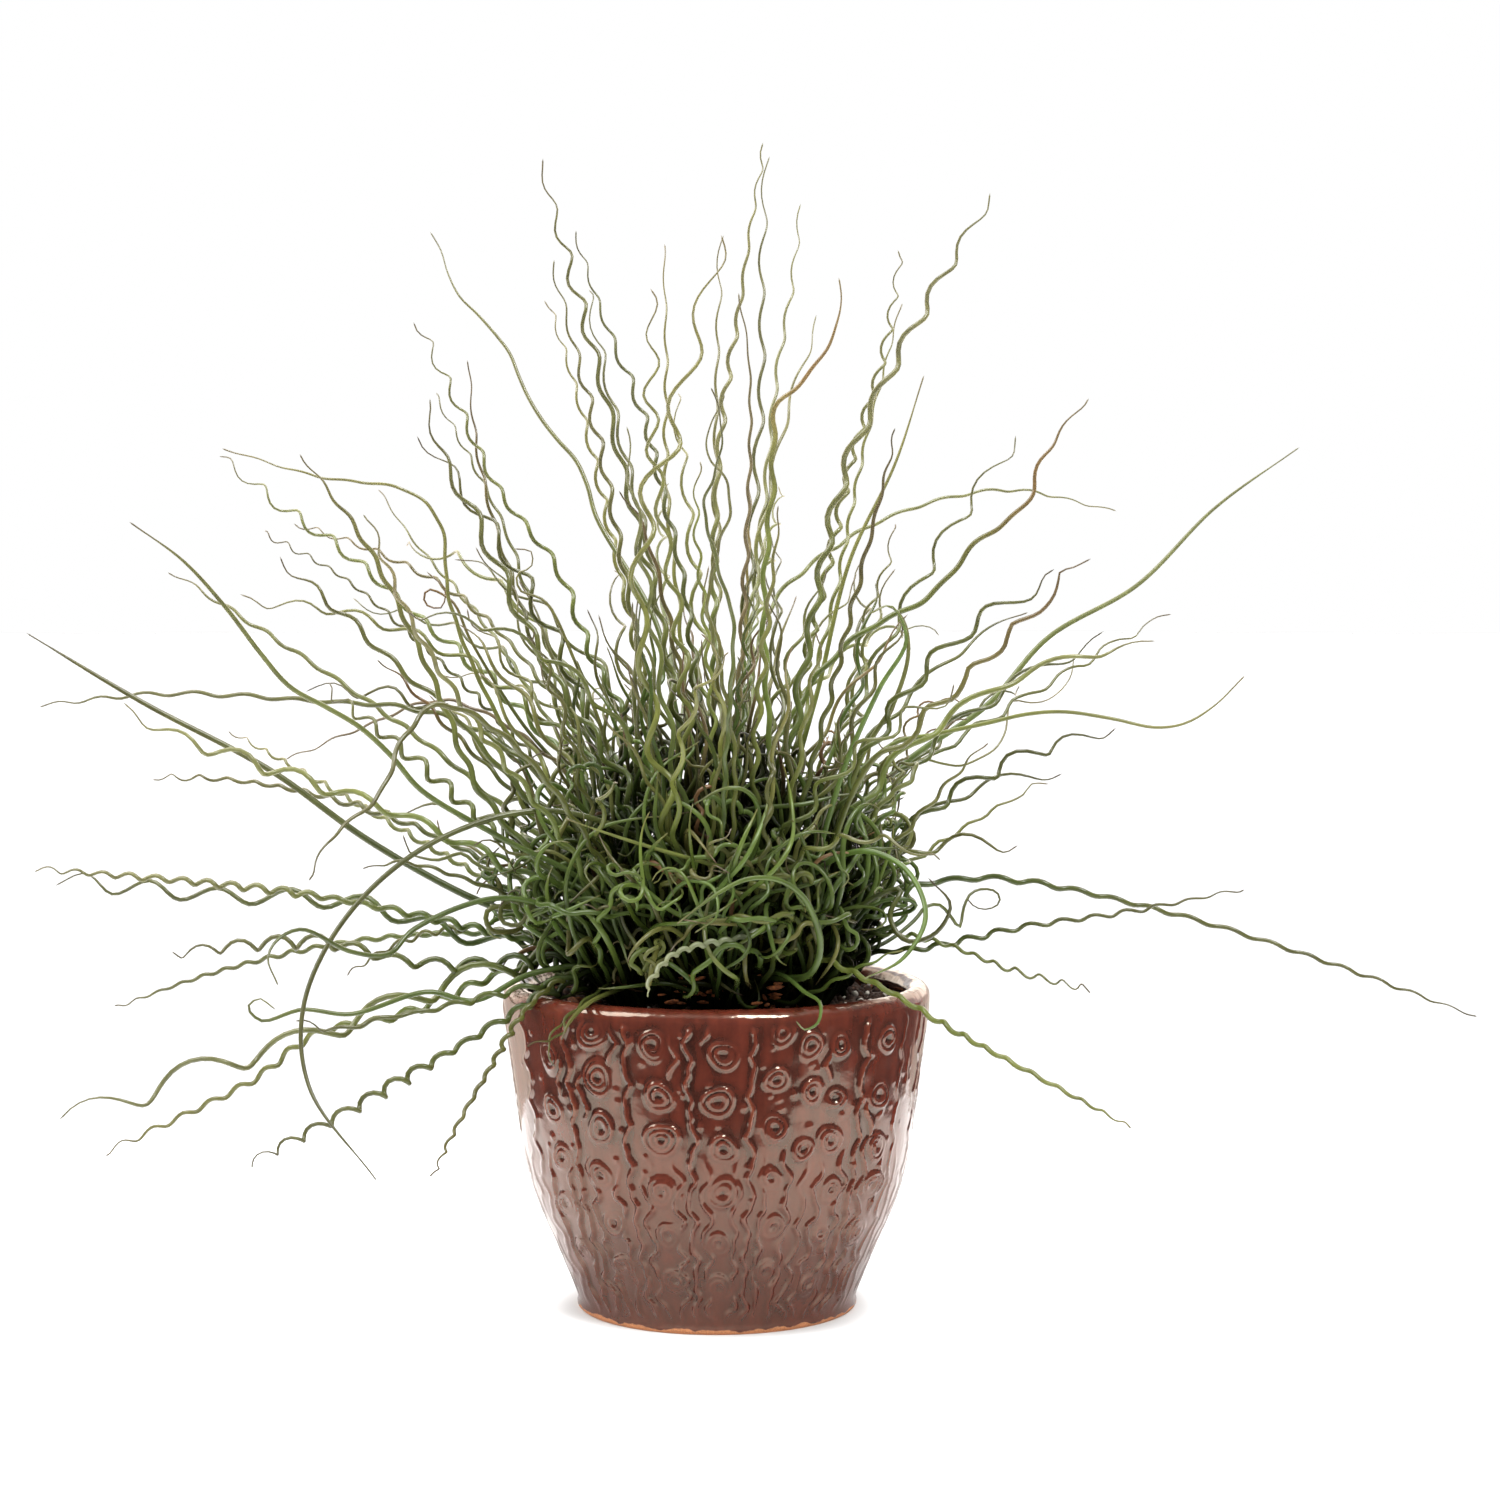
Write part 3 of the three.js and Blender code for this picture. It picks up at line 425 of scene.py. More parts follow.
def glazeThinness(raised, level):
    smooth = raised.copy()
    for shift in glazeLies["widths"]:
        smooth = (smooth + np.roll(smooth, shift, 1) + np.roll(smooth, -shift, 1)
                  + np.roll(smooth, shift, 0) + np.roll(smooth, -shift, 0)) / 5
    proud = raised - smooth
    more, *between = glazeLies["onHighRelief"]
    strength = glazeLies["onRelief"] + more * smoothStep(level, *between)
    thin = glazeLies["even"] + strength * np.where(proud < 0, glazeLies["pools"] * proud, proud)
    lip, *between = glazeLies["thinLip"]
    # the glaze is darker towards the foot
    foot, *below = glazeLies["darkerFoot"]
    thin += lip * smoothStep(level, *between) - foot * (1 - smoothStep(level, *below))
    waist, *below = glazeLies["thickWaist"]
    return thin - waist * (1 - smoothStep(level, *below))


def makePot():
    around, crowding = pot["around"], pot["crowding"]
    share = np.linspace(0, 1, pot["bellyRows"])
    fine, _ = evenly(bellyLine, pot["fineSteps"])
    belly = fine[np.round((len(fine) - 1) * share * (1 + crowding - crowding * share)).astype(int)]
    turn = np.linspace(0, math.pi, pot["lipRows"] + 1)[1:]
    lip = np.column_stack([rimMiddle[0] + pot["rimRoll"] * np.cos(turn),
                           rimMiddle[1] + pot["rimRoll"] * np.sin(turn)])
    wallHeights = np.linspace(rimMiddle[1] - pot["wallStart"], 2 * pot["floor"], pot["wallRows"])
    wall = np.column_stack([bellyRadius(wallHeights) - pot["wall"], wallHeights])
    foot = [(pot["belly"][0][0] - pot["footRound"], 0)]
    floor = [(wall[-1][0] - pot["floor"], pot["floor"])]
    profile = np.vstack([foot, belly, lip, wall, floor])
    level = profile[:, 1:2]
    angle = np.arange(around) / around * fullTurn
    angle = angle - crowding * np.sin(angle)
    angles = np.broadcast_to(angle, (len(profile), around))
    raised = np.zeros((len(profile), around))
    rows = slice(1, 1 + len(belly))
    raised[rows] = reliefHeight(angles[rows], np.broadcast_to(belly[:, 1:2], (len(belly), around)))
    waves, tall = pot["unevenSize"]
    uneven = noiseAt(np.sin(angle) * waves, np.cos(angle) * waves, level / tall)
    radius = profile[:, :1] + raised - pot["uneven"] * (level > pot["evenFoot"]) * (1 + uneven)
    # the lip is lumpy, and the glaze on it has crept
    over = turn[:, None]
    creep = sum(strength * noiseAt(np.sin(angle) * waves, np.cos(angle) * waves, over * overWaves)
                for waves, overWaves, strength in pot["lumpSizes"])
    rim = slice(1 + len(belly), 1 + len(belly) + len(turn))
    up = np.broadcast_to(level, radius.shape).copy()
    radius[rim] += pot["lipLumps"] * creep * np.cos(over)
    up[rim] += pot["lipLumps"] * (creep - pot["lipSinks"]) * np.sin(over)
    verts = np.stack([radius * np.sin(angles), -radius * np.cos(angles), up], axis=2).reshape(-1, 3)
    verts = np.vstack([[0, 0, 0], verts, [0, 0, pot["floor"]]])
    thin = glazeThinness(raised, level).ravel()
    values = np.concatenate([[glazeLies["even"]], thin, [glazeLies["even"]]])
    makePiece("glazed_pot", verts, turnedFaces(len(profile), around), makeOxbloodGlaze(), "glaze", ["pot"],
              {"glazeThin": values})


# Potting soil, with bits of bark and white grains

soil = {
    "edge": 135, "mound": 6, "seat": 0.3, "around": 150, "rings": 34,
    "sideStart": 12, "sideRows": 6, "footInset": 9,   # how far over the pot's floor its side starts
    "roughness": 1.5, "lumpSizes": [(7, 1), (2.4, 5)],   # each with a third place to look up its noise
    "highest": 1.2, "widest": 0.985,   # how far bits lie over it, and out, as a share of its area
    "barkFrom": 0.1, "grainsFrom": 0.2,   # and how far in
    "crumbs": 1000, "crumbSize": (0.8, 2.6),
    "bark": 130, "barkLength": (4, 13), "barkWidth": (0.2, 0.5), "barkHalf": (0.5, 1.0), "barkLift": 0.8,
    "grains": 60, "grainSize": (0.8, 1.9), "grainLift": 0.6,
    "heap": {"count": 26, "across": (-24, 27), "back": (-76, -58), "up": (144, 157), "length": (5, 11),
             "width": (0.2, 0.45), "half": (0.5, 1.1)},   # bark heaped up behind the front of the lip
    "seed": 31,
}
soilRadius = float(bellyRadius(soil["edge"])) - pot["wall"] - soil["seat"]


def soilTop(radius):
    return soil["edge"] + soil["mound"] * np.cos(np.minimum(radius / soilRadius, 1) * math.pi / 2)


# Damp potting mix, crumbled: very dark brown and dull. Bark is torn and fibrous, red-brown.
# The white grains are expanded mineral, chalky and pitted. Sizes and depths are of their grain.
pottingMix = {
    "damp": {"stops": [(0.3, "#1a110b"), (0.5, "#34231a"), (0.75, "#584032")],
             "size": 2.2, "roughness": 0.95, "depth": 0.8},
    "bark": {"stops": [(0.3, "#42230f"), (0.55, "#74401d"), (0.8, "#945c30")],
             "size": 1.2, "roughness": 0.85, "depth": 0.5},
    "chalk": {"stops": [(0.3, "#b5ad9f"), (0.7, "#e4dfd4")], "size": 0.5, "roughness": 0.9, "depth": 0.4},
}


def makeDullMaterial(name, look):
    material, tree = startMaterial(name)
    place = addNode(tree, "TexCoord").outputs["Object"]
    mottle = addNode(tree, "TexNoise", {}, {"Vector": place, "Scale": 1 / (look["size"] * mm), "Detail": 6.0})
    colour = addNode(tree, "ValToRGB", {"stops": look["stops"]}, {"Fac": mottle.outputs["Fac"]})
    rough = addNode(tree, "Bump", {}, {
        "Strength": 0.7, "Distance": look["depth"] * mm, "Height": mottle.outputs["Fac"]})
    finishMaterial(tree, {"Base Color": colour.outputs[0], "Roughness": look["roughness"], "IOR": 1.4,
                          "Normal": rough.outputs[0]})
    return material


def makeSoil():
    look = soil
    around, bottom = look["around"], pot["floor"] + look["seat"]
    side = [(bellyRadius(h) - pot["wall"] - look["seat"], h)
            for h in np.linspace(pot["floor"] + look["sideStart"], look["edge"], look["sideRows"])]
    reach = np.linspace(soilRadius, soilRadius / look["rings"], look["rings"])[1:]
    profile = [(side[0][0] - look["footInset"], bottom)] + side + [(r, soilTop(r)) for r in reach]
    angle = np.arange(around) / around * fullTurn
    verts = [(0, 0, bottom)]
    for index, (r, h) in enumerate(profile):
        for a in angle:
            x, y = r * math.sin(a), -r * math.cos(a)
            lift = 0
            if index > len(side):
                lift = look["roughness"] * sum(noise.noise(Vector((x / size, y / size, third)))
                                               for size, third in look["lumpSizes"])
            verts.append((x, y, h + lift))
    verts.append((0, 0, float(soilTop(0))))
    mix = makeDullMaterial("dampPottingMix", pottingMix["damp"])
    makePiece("soil_bed", verts, turnedFaces(len(profile), around), mix, "soil", ["soil"])
    return mix


lumpy = {"stretch": (0.7, 1.2), "corner": (0.8, 1.15)}


# A rounded lump from an octahedron cut once, stretched, and each corner drawn in or out.
def lump(rng, middle, size):
    corners = [Vector(c).normalized() for c in (
        (1, 0, 0), (-1, 0, 0), (0, 1, 0), (0, -1, 0), (0, 0, 1), (0, 0, -1),
        (1, 1, 0), (1, -1, 0), (-1, 1, 0), (-1, -1, 0), (1, 0, 1), (1, 0, -1), (-1, 0, 1), (-1, 0, -1),
        (0, 1, 1), (0, 1, -1), (0, -1, 1), (0, -1, -1))]
    spin = Vector((rng.gauss(0, 1), rng.gauss(0, 1), rng.gauss(0, 1))).to_track_quat("Z", "Y")
    stretch = [s * rng.uniform(*lumpy["stretch"]) for s in size]
    verts = []
    for c in corners:
        p = Vector([c[k] * stretch[k] * rng.uniform(*lumpy["corner"]) for k in range(3)])
        p.rotate(spin)
        verts.append(tuple(p + middle))
    faces = []
    for sx in (0, 1):
        for sy in (2, 3):
            for sz in (4, 5):
                xy = 6 + 2 * sx + (sy - 2)
                xz = 10 + 2 * sx + (sz - 4)
                yz = 14 + 2 * (sy - 2) + (sz - 4)
                cut = [(sx, xy, xz), (sy, yz, xy), (sz, xz, yz), (xy, yz, xz)]
                flip = (sx + sy + sz) % 2
                faces += [f[::-1] if flip else f for f in cut]
    return verts, faces


def joined(parts):
    verts, faces = [], []
    for some, own in parts:
        start = len(verts)
        verts += some
        faces += [tuple(i + start for i in f) for f in own]
    return verts, faces


def scatterSoilBits(mix):
    look = soil
    rng = random.Random(look["seed"])

    def spot(lowest, lift=0):
        r = soilRadius * rng.uniform(lowest, look["widest"]) ** 0.5
        a = rng.uniform(0, fullTurn)
        top = float(soilTop(r)) + rng.uniform(0, look["highest"])
        return Vector((r * math.sin(a), -r * math.cos(a), top)) + Vector((0, 0, lift))

    def chip(place, long, width, half):
        return lump(rng, place, (long, long * rng.uniform(*width), rng.uniform(*half)))

    crumbs = [lump(rng, spot(0.0), (rng.uniform(*look["crumbSize"]),) * 3) for _ in range(look["crumbs"])]
    makePiece("soil_crumbs", *joined(crumbs), mix, "soil", [])
    chips = []
    for _ in range(look["bark"]):
        long = rng.uniform(*look["barkLength"]) / 2
        place = spot(look["barkFrom"], look["barkLift"])
        chips.append(chip(place, long, look["barkWidth"], look["barkHalf"]))
    heap = look["heap"]
    for _ in range(heap["count"]):
        long = rng.uniform(*heap["length"]) / 2
        place = Vector([rng.uniform(*heap[way]) for way in ("across", "back", "up")])
        chips.append(chip(place, long, heap["width"], heap["half"]))
    bark = makeDullMaterial("tornPineBark", pottingMix["bark"])
    makePiece("bark_bits", *joined(chips), bark, "soil", [])
    grains = [lump(rng, spot(look["grainsFrom"], look["grainLift"]), (rng.uniform(*look["grainSize"]),) * 3)
              for _ in range(look["grains"])]
    chalky = makeDullMaterial("expandedPerlite", pottingMix["chalk"])
    makePiece("perlite_grains", *joined(grains), chalky, "soil", [])


# The rush: nine tufts on crowns, their stems laid out as in the solids and then filled in between

rush = {
    "eye": (15, -1450, 340),   # the stems' outline points are as seen from here on the plane through the axis
    "crownRing": 42, "crownRadius": 15, "middleRadius": 16, "spots": 0.8, "finerSpots": 9,
    "root": 3, "rise": 15, "firstLean": 0.08,   # a stem's foot lies this deep and stands up this far
    "coilShare": 0.9, "easeIn": 45, "scallop": 0.6, "scallopMost": 0.14,
    "coilWander": 0.45, "coilWaves": 2.6,   # the coil's radius varies this much over so many turns, and
    "turnWander": 1.1, "turnWaves": 3.5,   # its turning this much over so many
    "firstSide": (0.31, -0.9, 0.3),   # any way that no stem starts along
    "sides": 7, "shortSides": 6, "ringStep": 3.2, "ringsPerTurn": 9, "fewestRings": 12,
    "tip": 0.34, "taper": 13, "bluntTaper": 40, "thinning": 0.6, "shortThinning": 0.6,
    "footSwell": 0.12, "swollenRings": 6,   # a stem is a little thicker at its foot
    "fillFan": 150, "fillSpread": 1.3,   # degrees and share of the crown that the stems between take up
    "firstSeed": 101, "fillSeed": 501, "shadeSeed": 700,
    "coilSeeds": 40, "finerCoilSeed": 400, "turnSeed": 50,
}
# further stems, laid out by rule: degrees that they start at, bend over by and twist through
arcs = {"steep": (58, 86), "bend": (15, 80), "twist": (-50, 50), "steps": 6, "droop": 1.3,
        "coil": (1.8, 3.6), "pitch": (26, 40), "radius": (1.4, 1.8)}
# each tuft: which way it leans and how wide it fans, its further stems, and those that fill it in
tufts = {
    "upright": {"middle": True, "bearing": 90, "fan": 360, "extra": 3, "lengths": (170, 300),
                "wavy": 34, "curly": 105},
    "right_low": {"bearing": 0, "fan": 50, "extra": 4, "lengths": (110, 190),
                  "wavy": 1, "curly": 52, "thinning": 0.55},
    "right_high": {"bearing": 45, "fan": 50, "extra": 5, "lengths": (190, 290), "wavy": 5, "curly": 62},
    "back": {"bearing": 90, "fan": 80, "extra": 10, "lengths": (210, 330), "wavy": 14, "curly": 60},
    "left_high": {"bearing": 135, "fan": 50, "extra": 5, "lengths": (190, 300), "wavy": 9, "curly": 75},
    "left_low": {"bearing": 180, "fan": 50, "extra": 2, "lengths": (110, 190),
                 "wavy": 8, "curly": 75, "thinning": 0.4},
    "front_left": {"bearing": 225, "fan": 50, "extra": 1, "lengths": (120, 200),
                   "wavy": 7, "curly": 95, "thinning": 0.4},
    "front": {"bearing": 270, "fan": 80, "extra": 6, "lengths": (170, 280), "wavy": 14, "curly": 120},
    "front_right": {"bearing": 315, "fan": 50, "extra": 3, "lengths": (150, 260),
                    "wavy": 8, "curly": 105, "thinning": 0.4},
}

# Stem colours from the root to the tip, as shares of the length.
stemShades = {
    "green": [(0, "#62763a"), (0.1, "#4d622c"), (0.35, "#586631"), (0.6, "#646a34"), (0.93, "#65643a"),
              (1, "#5a4d3a")],
    "fresh": [(0, "#6c7a40"), (0.12, "#51672f"), (0.9, "#5a6c30"), (1, "#686638")],
    "olive": [(0, "#5f7132"), (0.15, "#56622b"), (0.4, "#606631"), (0.93, "#67643a"), (1, "#5e4f3b")],
    "lime": [(0, "#687a36"), (0.3, "#6b7936"), (0.94, "#70763a"), (1, "#6e6540")],
    "dryTip": [(0, "#596c2d"), (0.3, "#5b662f"), (0.7, "#666134"), (0.88, "#6b583a"), (1, "#604f3a")],
    "rust": [(0, "#596c2d"), (0.6, "#5e662e"), (0.76, "#676231"), (0.87, "#785732"), (1, "#6b583a")],
    "pinkish": [(0, "#5f7132"), (0.3, "#6a6a34"), (0.6, "#7a694c"), (1, "#7a6652")],
    "pale": [(0, "#747c5c"), (0.5, "#788260"), (1, "#7e805c")],
    "straw": [(0, "#66472c"), (0.5, "#7a5838"), (1, "#846848")],
    "dark": [(0, "#4c5e24"), (0.3, "#3e501c"), (0.8, "#485822"), (1, "#52532b")],
}

# Stems that give the clump its outline, as the solids have them but some drawn more closely: shade, depth of
# the tip, coil radius, pitch of the coil, stem radius, and (across, up) points from the tip down to where it
# joins the others.
outlineStems = {
    "upright": [
        ("olive", -70, 2.2, 23, 1.7, [(-77, 506), (-64, 459), (-52, 416), (-40, 367), (-23, 297)]),
        ("olive", 30, 1.8, 18, 1.6, [(-62, 475), (-49, 437), (-33, 398), (-24, 363), (-12, 306)]),
        ("olive", -20, 1.5, 20, 1.6, [(-72, 462), (-62, 424), (-52, 385), (-42, 334), (-30, 270)]),
        ("olive", 140, 1.8, 20, 1.5, [(-74, 446), (-65, 418), (-55, 381), (-46, 341), (-34, 288)]),
        ("green", 130, 0, 30, 1.7, [(-125, 475), (-121, 468), (-118, 458), (-113, 448),
            (-105, 440), (-97, 431), (-91, 423), (-87, 413), (-83, 404), (-77, 394), (-70, 385),
            (-62, 376), (-57, 365), (-53, 351), (-27, 305), (-18, 265)]),
        ("olive", -130, 3.1, 26, 1.5, [(-29, 450), (-28, 424), (-29, 397), (-24, 350), (-16, 297)]),
        ("green", 10, 1.3, 19, 1.7, [(21, 513), (15, 477), (10, 442), (3, 398), (-1, 332)]),
    ],
    "right_low": [
        ("green", -20, 0, 30, 1.45, [(233, 280), (221, 268), (208, 260), (195, 258), (175, 262),
            (154, 265), (138, 264), (120, 260), (97, 255), (77, 250), (46, 212)]),
        ("green", 40, 0, 20, 1.25, [(146, 233), (140, 233), (136, 228), (130, 225), (124, 223),
            (119, 218), (111, 215), (105, 209), (98, 207), (93, 201), (86, 199), (79, 194), (60, 172),
            (46, 168)]),
        ("green", 20, 0.9, 18, 1.6, [(340, 129), (271, 154), (204, 175), (133, 190), (104, 190),
            (64, 179)]),
        ("green", -60, 1.2, 14, 1.35, [(234, 186), (184, 176), (136, 169), (95, 160), (68, 157)]),
        ("green", -90, 1.3, 10.5, 1.25, [(166, 141), (131, 150), (100, 162), (73, 166), (46, 157)]),
        ("green", 70, 0, 20, 1.2, [(112, 181), (115, 178), (120, 177), (125, 179), (126, 182),
            (124, 185), (118, 186), (113, 184), (110, 178), (108, 169), (104, 174), (99, 179), (93, 178),
            (88, 172), (73, 161)]),
        ("olive", -50, 0.9, 18, 1.5, [(119, 251), (98, 228), (73, 199), (50, 172)]),
    ],
    "right_high": [
        ("olive", 60, 1.8, 16, 1.6, [(81, 468), (78, 446), (72, 416), (61, 381), (50, 332), (37, 270)]),
        ("green", 20, 0, 30, 1.6, [(91, 412), (79, 375), (59, 332), (46, 279), (33, 226)]),
        ("green", 100, 0, 30, 1.9, [(256, 381), (220, 355), (186, 321), (147, 298), (120, 268),
            (81, 240), (50, 203)]),
        ("green", 170, 0, 20, 1.35, [(200, 308), (195, 307), (189, 303), (185, 298), (178, 297),
            (171, 294), (165, 286), (158, 285), (152, 282), (146, 275), (138, 273), (131, 270),
            (127, 263), (121, 261), (115, 260), (110, 255), (106, 250), (100, 248), (90, 243), (62, 222),
            (50, 190)]),
        ("olive", 200, 0.9, 24, 1.5, [(175, 354), (128, 363), (81, 353), (47, 334), (24, 311), (15, 261)]),
    ],
    "back": [
        ("olive", 170, 1.7, 31, 1.4, [(2, 472), (0, 403), (0, 332), (1, 270)]),
        ("olive", 110, 1.8, 33, 1.5, [(22, 509), (20, 460), (20, 410), (17, 365), (13, 306)]),
        ("dryTip", 160, 1.3, 26, 1.5, [(37, 486), (33, 451), (27, 416), (23, 377), (17, 314)]),
        ("lime", 40, 0, 20, 1.5, [(-11, 243), (3, 249), (27, 253), (46, 230), (37, 190)]),
    ],
    "left_high": [
        ("green", 60, 2, 19, 1.6, [(-131, 436), (-115, 403), (-96, 363), (-70, 328), (-56, 292),
            (-34, 244)]),
        ("dryTip", 90, 0.9, 22, 1.5, [(-109, 419), (-107, 392), (-103, 368), (-93, 332), (-74, 279),
            (-43, 226)]),
        ("green", 120, 2.4, 21, 1.6, [(-219, 378), (-192, 356), (-163, 335), (-133, 308), (-96, 275),
            (-56, 226)]),
        ("olive", 20, 0.3, 20, 1.4, [(-217, 381), (-176, 369), (-135, 362), (-122, 348), (-118, 314),
            (-96, 261), (-56, 203)]),
        ("dryTip", 180, 1.3, 18, 1.5, [(-185, 348), (-146, 334), (-111, 314), (-78, 279), (-47, 226)]),
        ("pinkish", 60, 0.9, 20, 1.4, [(-190, 244), (-157, 258), (-121, 270), (-83, 252), (-43, 208)]),
    ],
    "left_low": [
        ("olive", 60, 1, 20, 1.5, [(-241, 327), (-204, 303), (-165, 277), (-121, 245), (-83, 212),
            (-47, 186)]),
        ("green", -20, 0, 30, 1.9, [(-304, 299), (-254, 269), (-198, 239), (-155, 208), (-113, 184),
            (-70, 166)]),
        ("olive", 30, 0.9, 22, 1.4, [(-301, 268), (-247, 273), (-182, 270), (-125, 264), (-87, 244),
            (-47, 203)]),
        ("green", 140, 1.6, 16, 1.5, [(-249, 236), (-218, 235), (-181, 229), (-141, 217), (-96, 195),
            (-56, 172)]),
        ("green", 0, 1.3, 12, 1.6, [(-302, 195), (-230, 189), (-172, 182), (-114, 170), (-70, 159)]),
        ("green", 50, 3.2, 34, 1.6, [(-292, 190), (-261, 187), (-219, 183), (-181, 182), (-152, 178),
            (-118, 167), (-70, 157)]),
        ("green", 80, 0.7, 12, 1.5, [(-268, 133), (-226, 148), (-178, 160), (-140, 165), (-96, 166),
            (-56, 159)]),
        ("green", 20, 1.7, 15, 1.6, [(-273, 68), (-235, 86), (-206, 101), (-179, 121), (-147, 128),
            (-124, 136), (-97, 148), (-61, 157)]),
    ],
    "front_left": [
        ("dryTip", -60, 0.9, 20, 1.5, [(-42, 362), (-34, 350), (-23, 314), (-12, 244)]),
        ("green", -70, 2.7, 27, 1.6, [(-128, 401), (-120, 376), (-105, 348), (-92, 319), (-69, 275),
            (-38, 226)]),
        ("green", -90, 1, 20, 1.6, [(-183, 378), (-156, 341), (-133, 296), (-121, 268), (-105, 230),
            (-70, 190), (-43, 168)]),
        ("dryTip", -170, 1.5, 20, 1.4, [(-154, 352), (-146, 330), (-133, 301), (-105, 257), (-65, 203)]),
        ("green", -60, 1.8, 24, 1.6, [(-193, 332), (-165, 308), (-138, 282), (-121, 268), (-87, 230),
            (-52, 195)]),
        ("green", -150, 0, 30, 1.5, [(-258, 348), (-236, 332), (-217, 311), (-202, 291), (-189, 276),
            (-173, 267), (-158, 258), (-144, 245), (-131, 230), (-96, 209), (-56, 186)]),
        ("green", -80, 3.1, 27, 1.6, [(-263, 266), (-237, 253), (-204, 242), (-176, 232), (-152, 224),
            (-114, 207), (-70, 181)]),
        ("olive", -190, 0.9, 20, 1.5, [(-182, 190), (-172, 208), (-150, 228), (-138, 255),
            (-123, 268), (-92, 252), (-52, 199)]),
        ("green", -40, 2.3, 13, 1.6, [(-173, 275), (-145, 253), (-124, 235), (-106, 218), (-79, 195),
            (-47, 172)]),
        ("green", -50, 3, 17, 1.6, [(-243, 157), (-208, 161), (-174, 162), (-140, 154), (-114, 152),
            (-70, 154)]),
        ("fresh", -160, 0, 20, 1.5, [(-196, 144), (-200, 155), (-196, 163), (-185, 168), (-163, 158),
            (-146, 157), (-135, 168), (-97, 182), (-61, 172)]),
        ("fresh", -90, 0, 20, 1.5, [(-198, 133), (-204, 137), (-209, 133), (-203, 127), (-185, 132),
            (-163, 130), (-129, 140), (-108, 136), (-83, 148), (-52, 152)]),
        ("olive", -70, 5.3, 42, 1.7, [(-289, 83), (-258, 94), (-224, 107), (-186, 118), (-150, 132),
            (-105, 148), (-61, 157)]),
        ("green", -100, 2.4, 12.5, 1.6, [(-208, 63), (-165, 86), (-129, 107), (-91, 130), (-65, 143),
            (-43, 150)]),
        ("olive", -150, 0, 20, 1.5, [(-153, 56), (-182, 97), (-184, 135), (-163, 176), (-124, 208),
            (-74, 221), (-27, 204), (-7, 177)]),
        ("olive", -120, 1.0, 9, 1.4, [(-127, 57), (-117, 78), (-101, 106), (-85, 132), (-70, 145),
            (-43, 152)]),
        ("pale", -140, 0.75, 8.5, 1.6, [(-30, 138), (-31, 142), (-28, 147), (-20, 156), (-7, 161), (5, 163),
            (14, 165), (21, 168), (29, 167)]),
        ("green", -110, 0, 20, 1.5, [(-69, 119), (-66, 126), (-57, 135), (-43, 141), (-25, 145)]),
    ],
    "front": [
        ("olive", -160, 5.3, 38, 1.7, [(3, 474), (-2, 459), (-7, 438), (-12, 418), (-18, 394),
            (-27, 367), (-34, 332), (-30, 270)]),
        ("green", -180, 0.5, 18, 1.4, [(-2, 407), (2, 394), (1, 376), (-5, 359), (-5, 350), (-1, 336),
            (2, 323), (7, 308), (4, 244)]),
        ("fresh", -150, 0, 20, 2.0, [(-17, 171), (-8, 178), (2, 185), (12, 190), (22, 191), (30, 189),
            (38, 183), (43, 174), (46, 163), (45, 154), (40, 147)]),
        ("fresh", -130, 0, 20, 1.5, [(-9, 167), (0, 174), (-2, 187), (-14, 189), (-24, 176), (-21, 154)]),
        ("fresh", -80, 0.9, 14, 1.5, [(82, 159), (66, 152), (45, 141), (29, 135), (15, 141)]),
        ("fresh", -120, 0, 20, 1.5, [(36, 126), (39, 123), (45, 126), (46, 135), (39, 140), (28, 148)]),
        ("fresh", -60, 0, 20, 1.9, [(24, 242), (28, 225), (29, 203), (24, 168)]),
    ],
    "front_right": [
        ("rust", -80, 0.9, 24, 1.6, [(54, 455), (54, 438), (41, 414), (27, 400), (25, 368), (21, 314),
            (24, 244)]),
        ("green", -100, 2.2, 26, 1.7, [(121, 492), (105, 466), (90, 440), (74, 410), (57, 372),
            (44, 314), (33, 244)]),
        ("green", -90, 1.5, 20, 1.5, [(28, 355), (25, 328), (21, 291), (17, 235)]),
        ("dryTip", -120, 0, 20, 1.5, [(164, 332), (158, 329), (152, 327), (151, 322), (149, 316),
            (143, 309), (136, 306), (131, 304), (129, 299), (127, 293), (122, 289), (116, 287),
            (112, 285), (110, 279), (105, 271), (99, 269), (93, 267), (91, 263), (89, 256), (83, 250),
            (73, 247), (62, 232), (50, 199)]),
        ("rust", -50, 0.9, 22, 1.6, [(163, 403), (144, 377), (136, 356), (115, 340), (95, 317),
            (59, 296), (33, 261), (24, 203)]),
        ("lime", -170, 0.8, 12.5, 1.5, [(185, 79), (145, 101), (107, 122), (79, 139), (54, 152), (34, 160),
            (14, 162)]),
        ("fresh", -130, 0, 20, 1.6, [(66, 146), (83, 155), (93, 174), (84, 195), (64, 203), (41, 190)]),
    ],
}

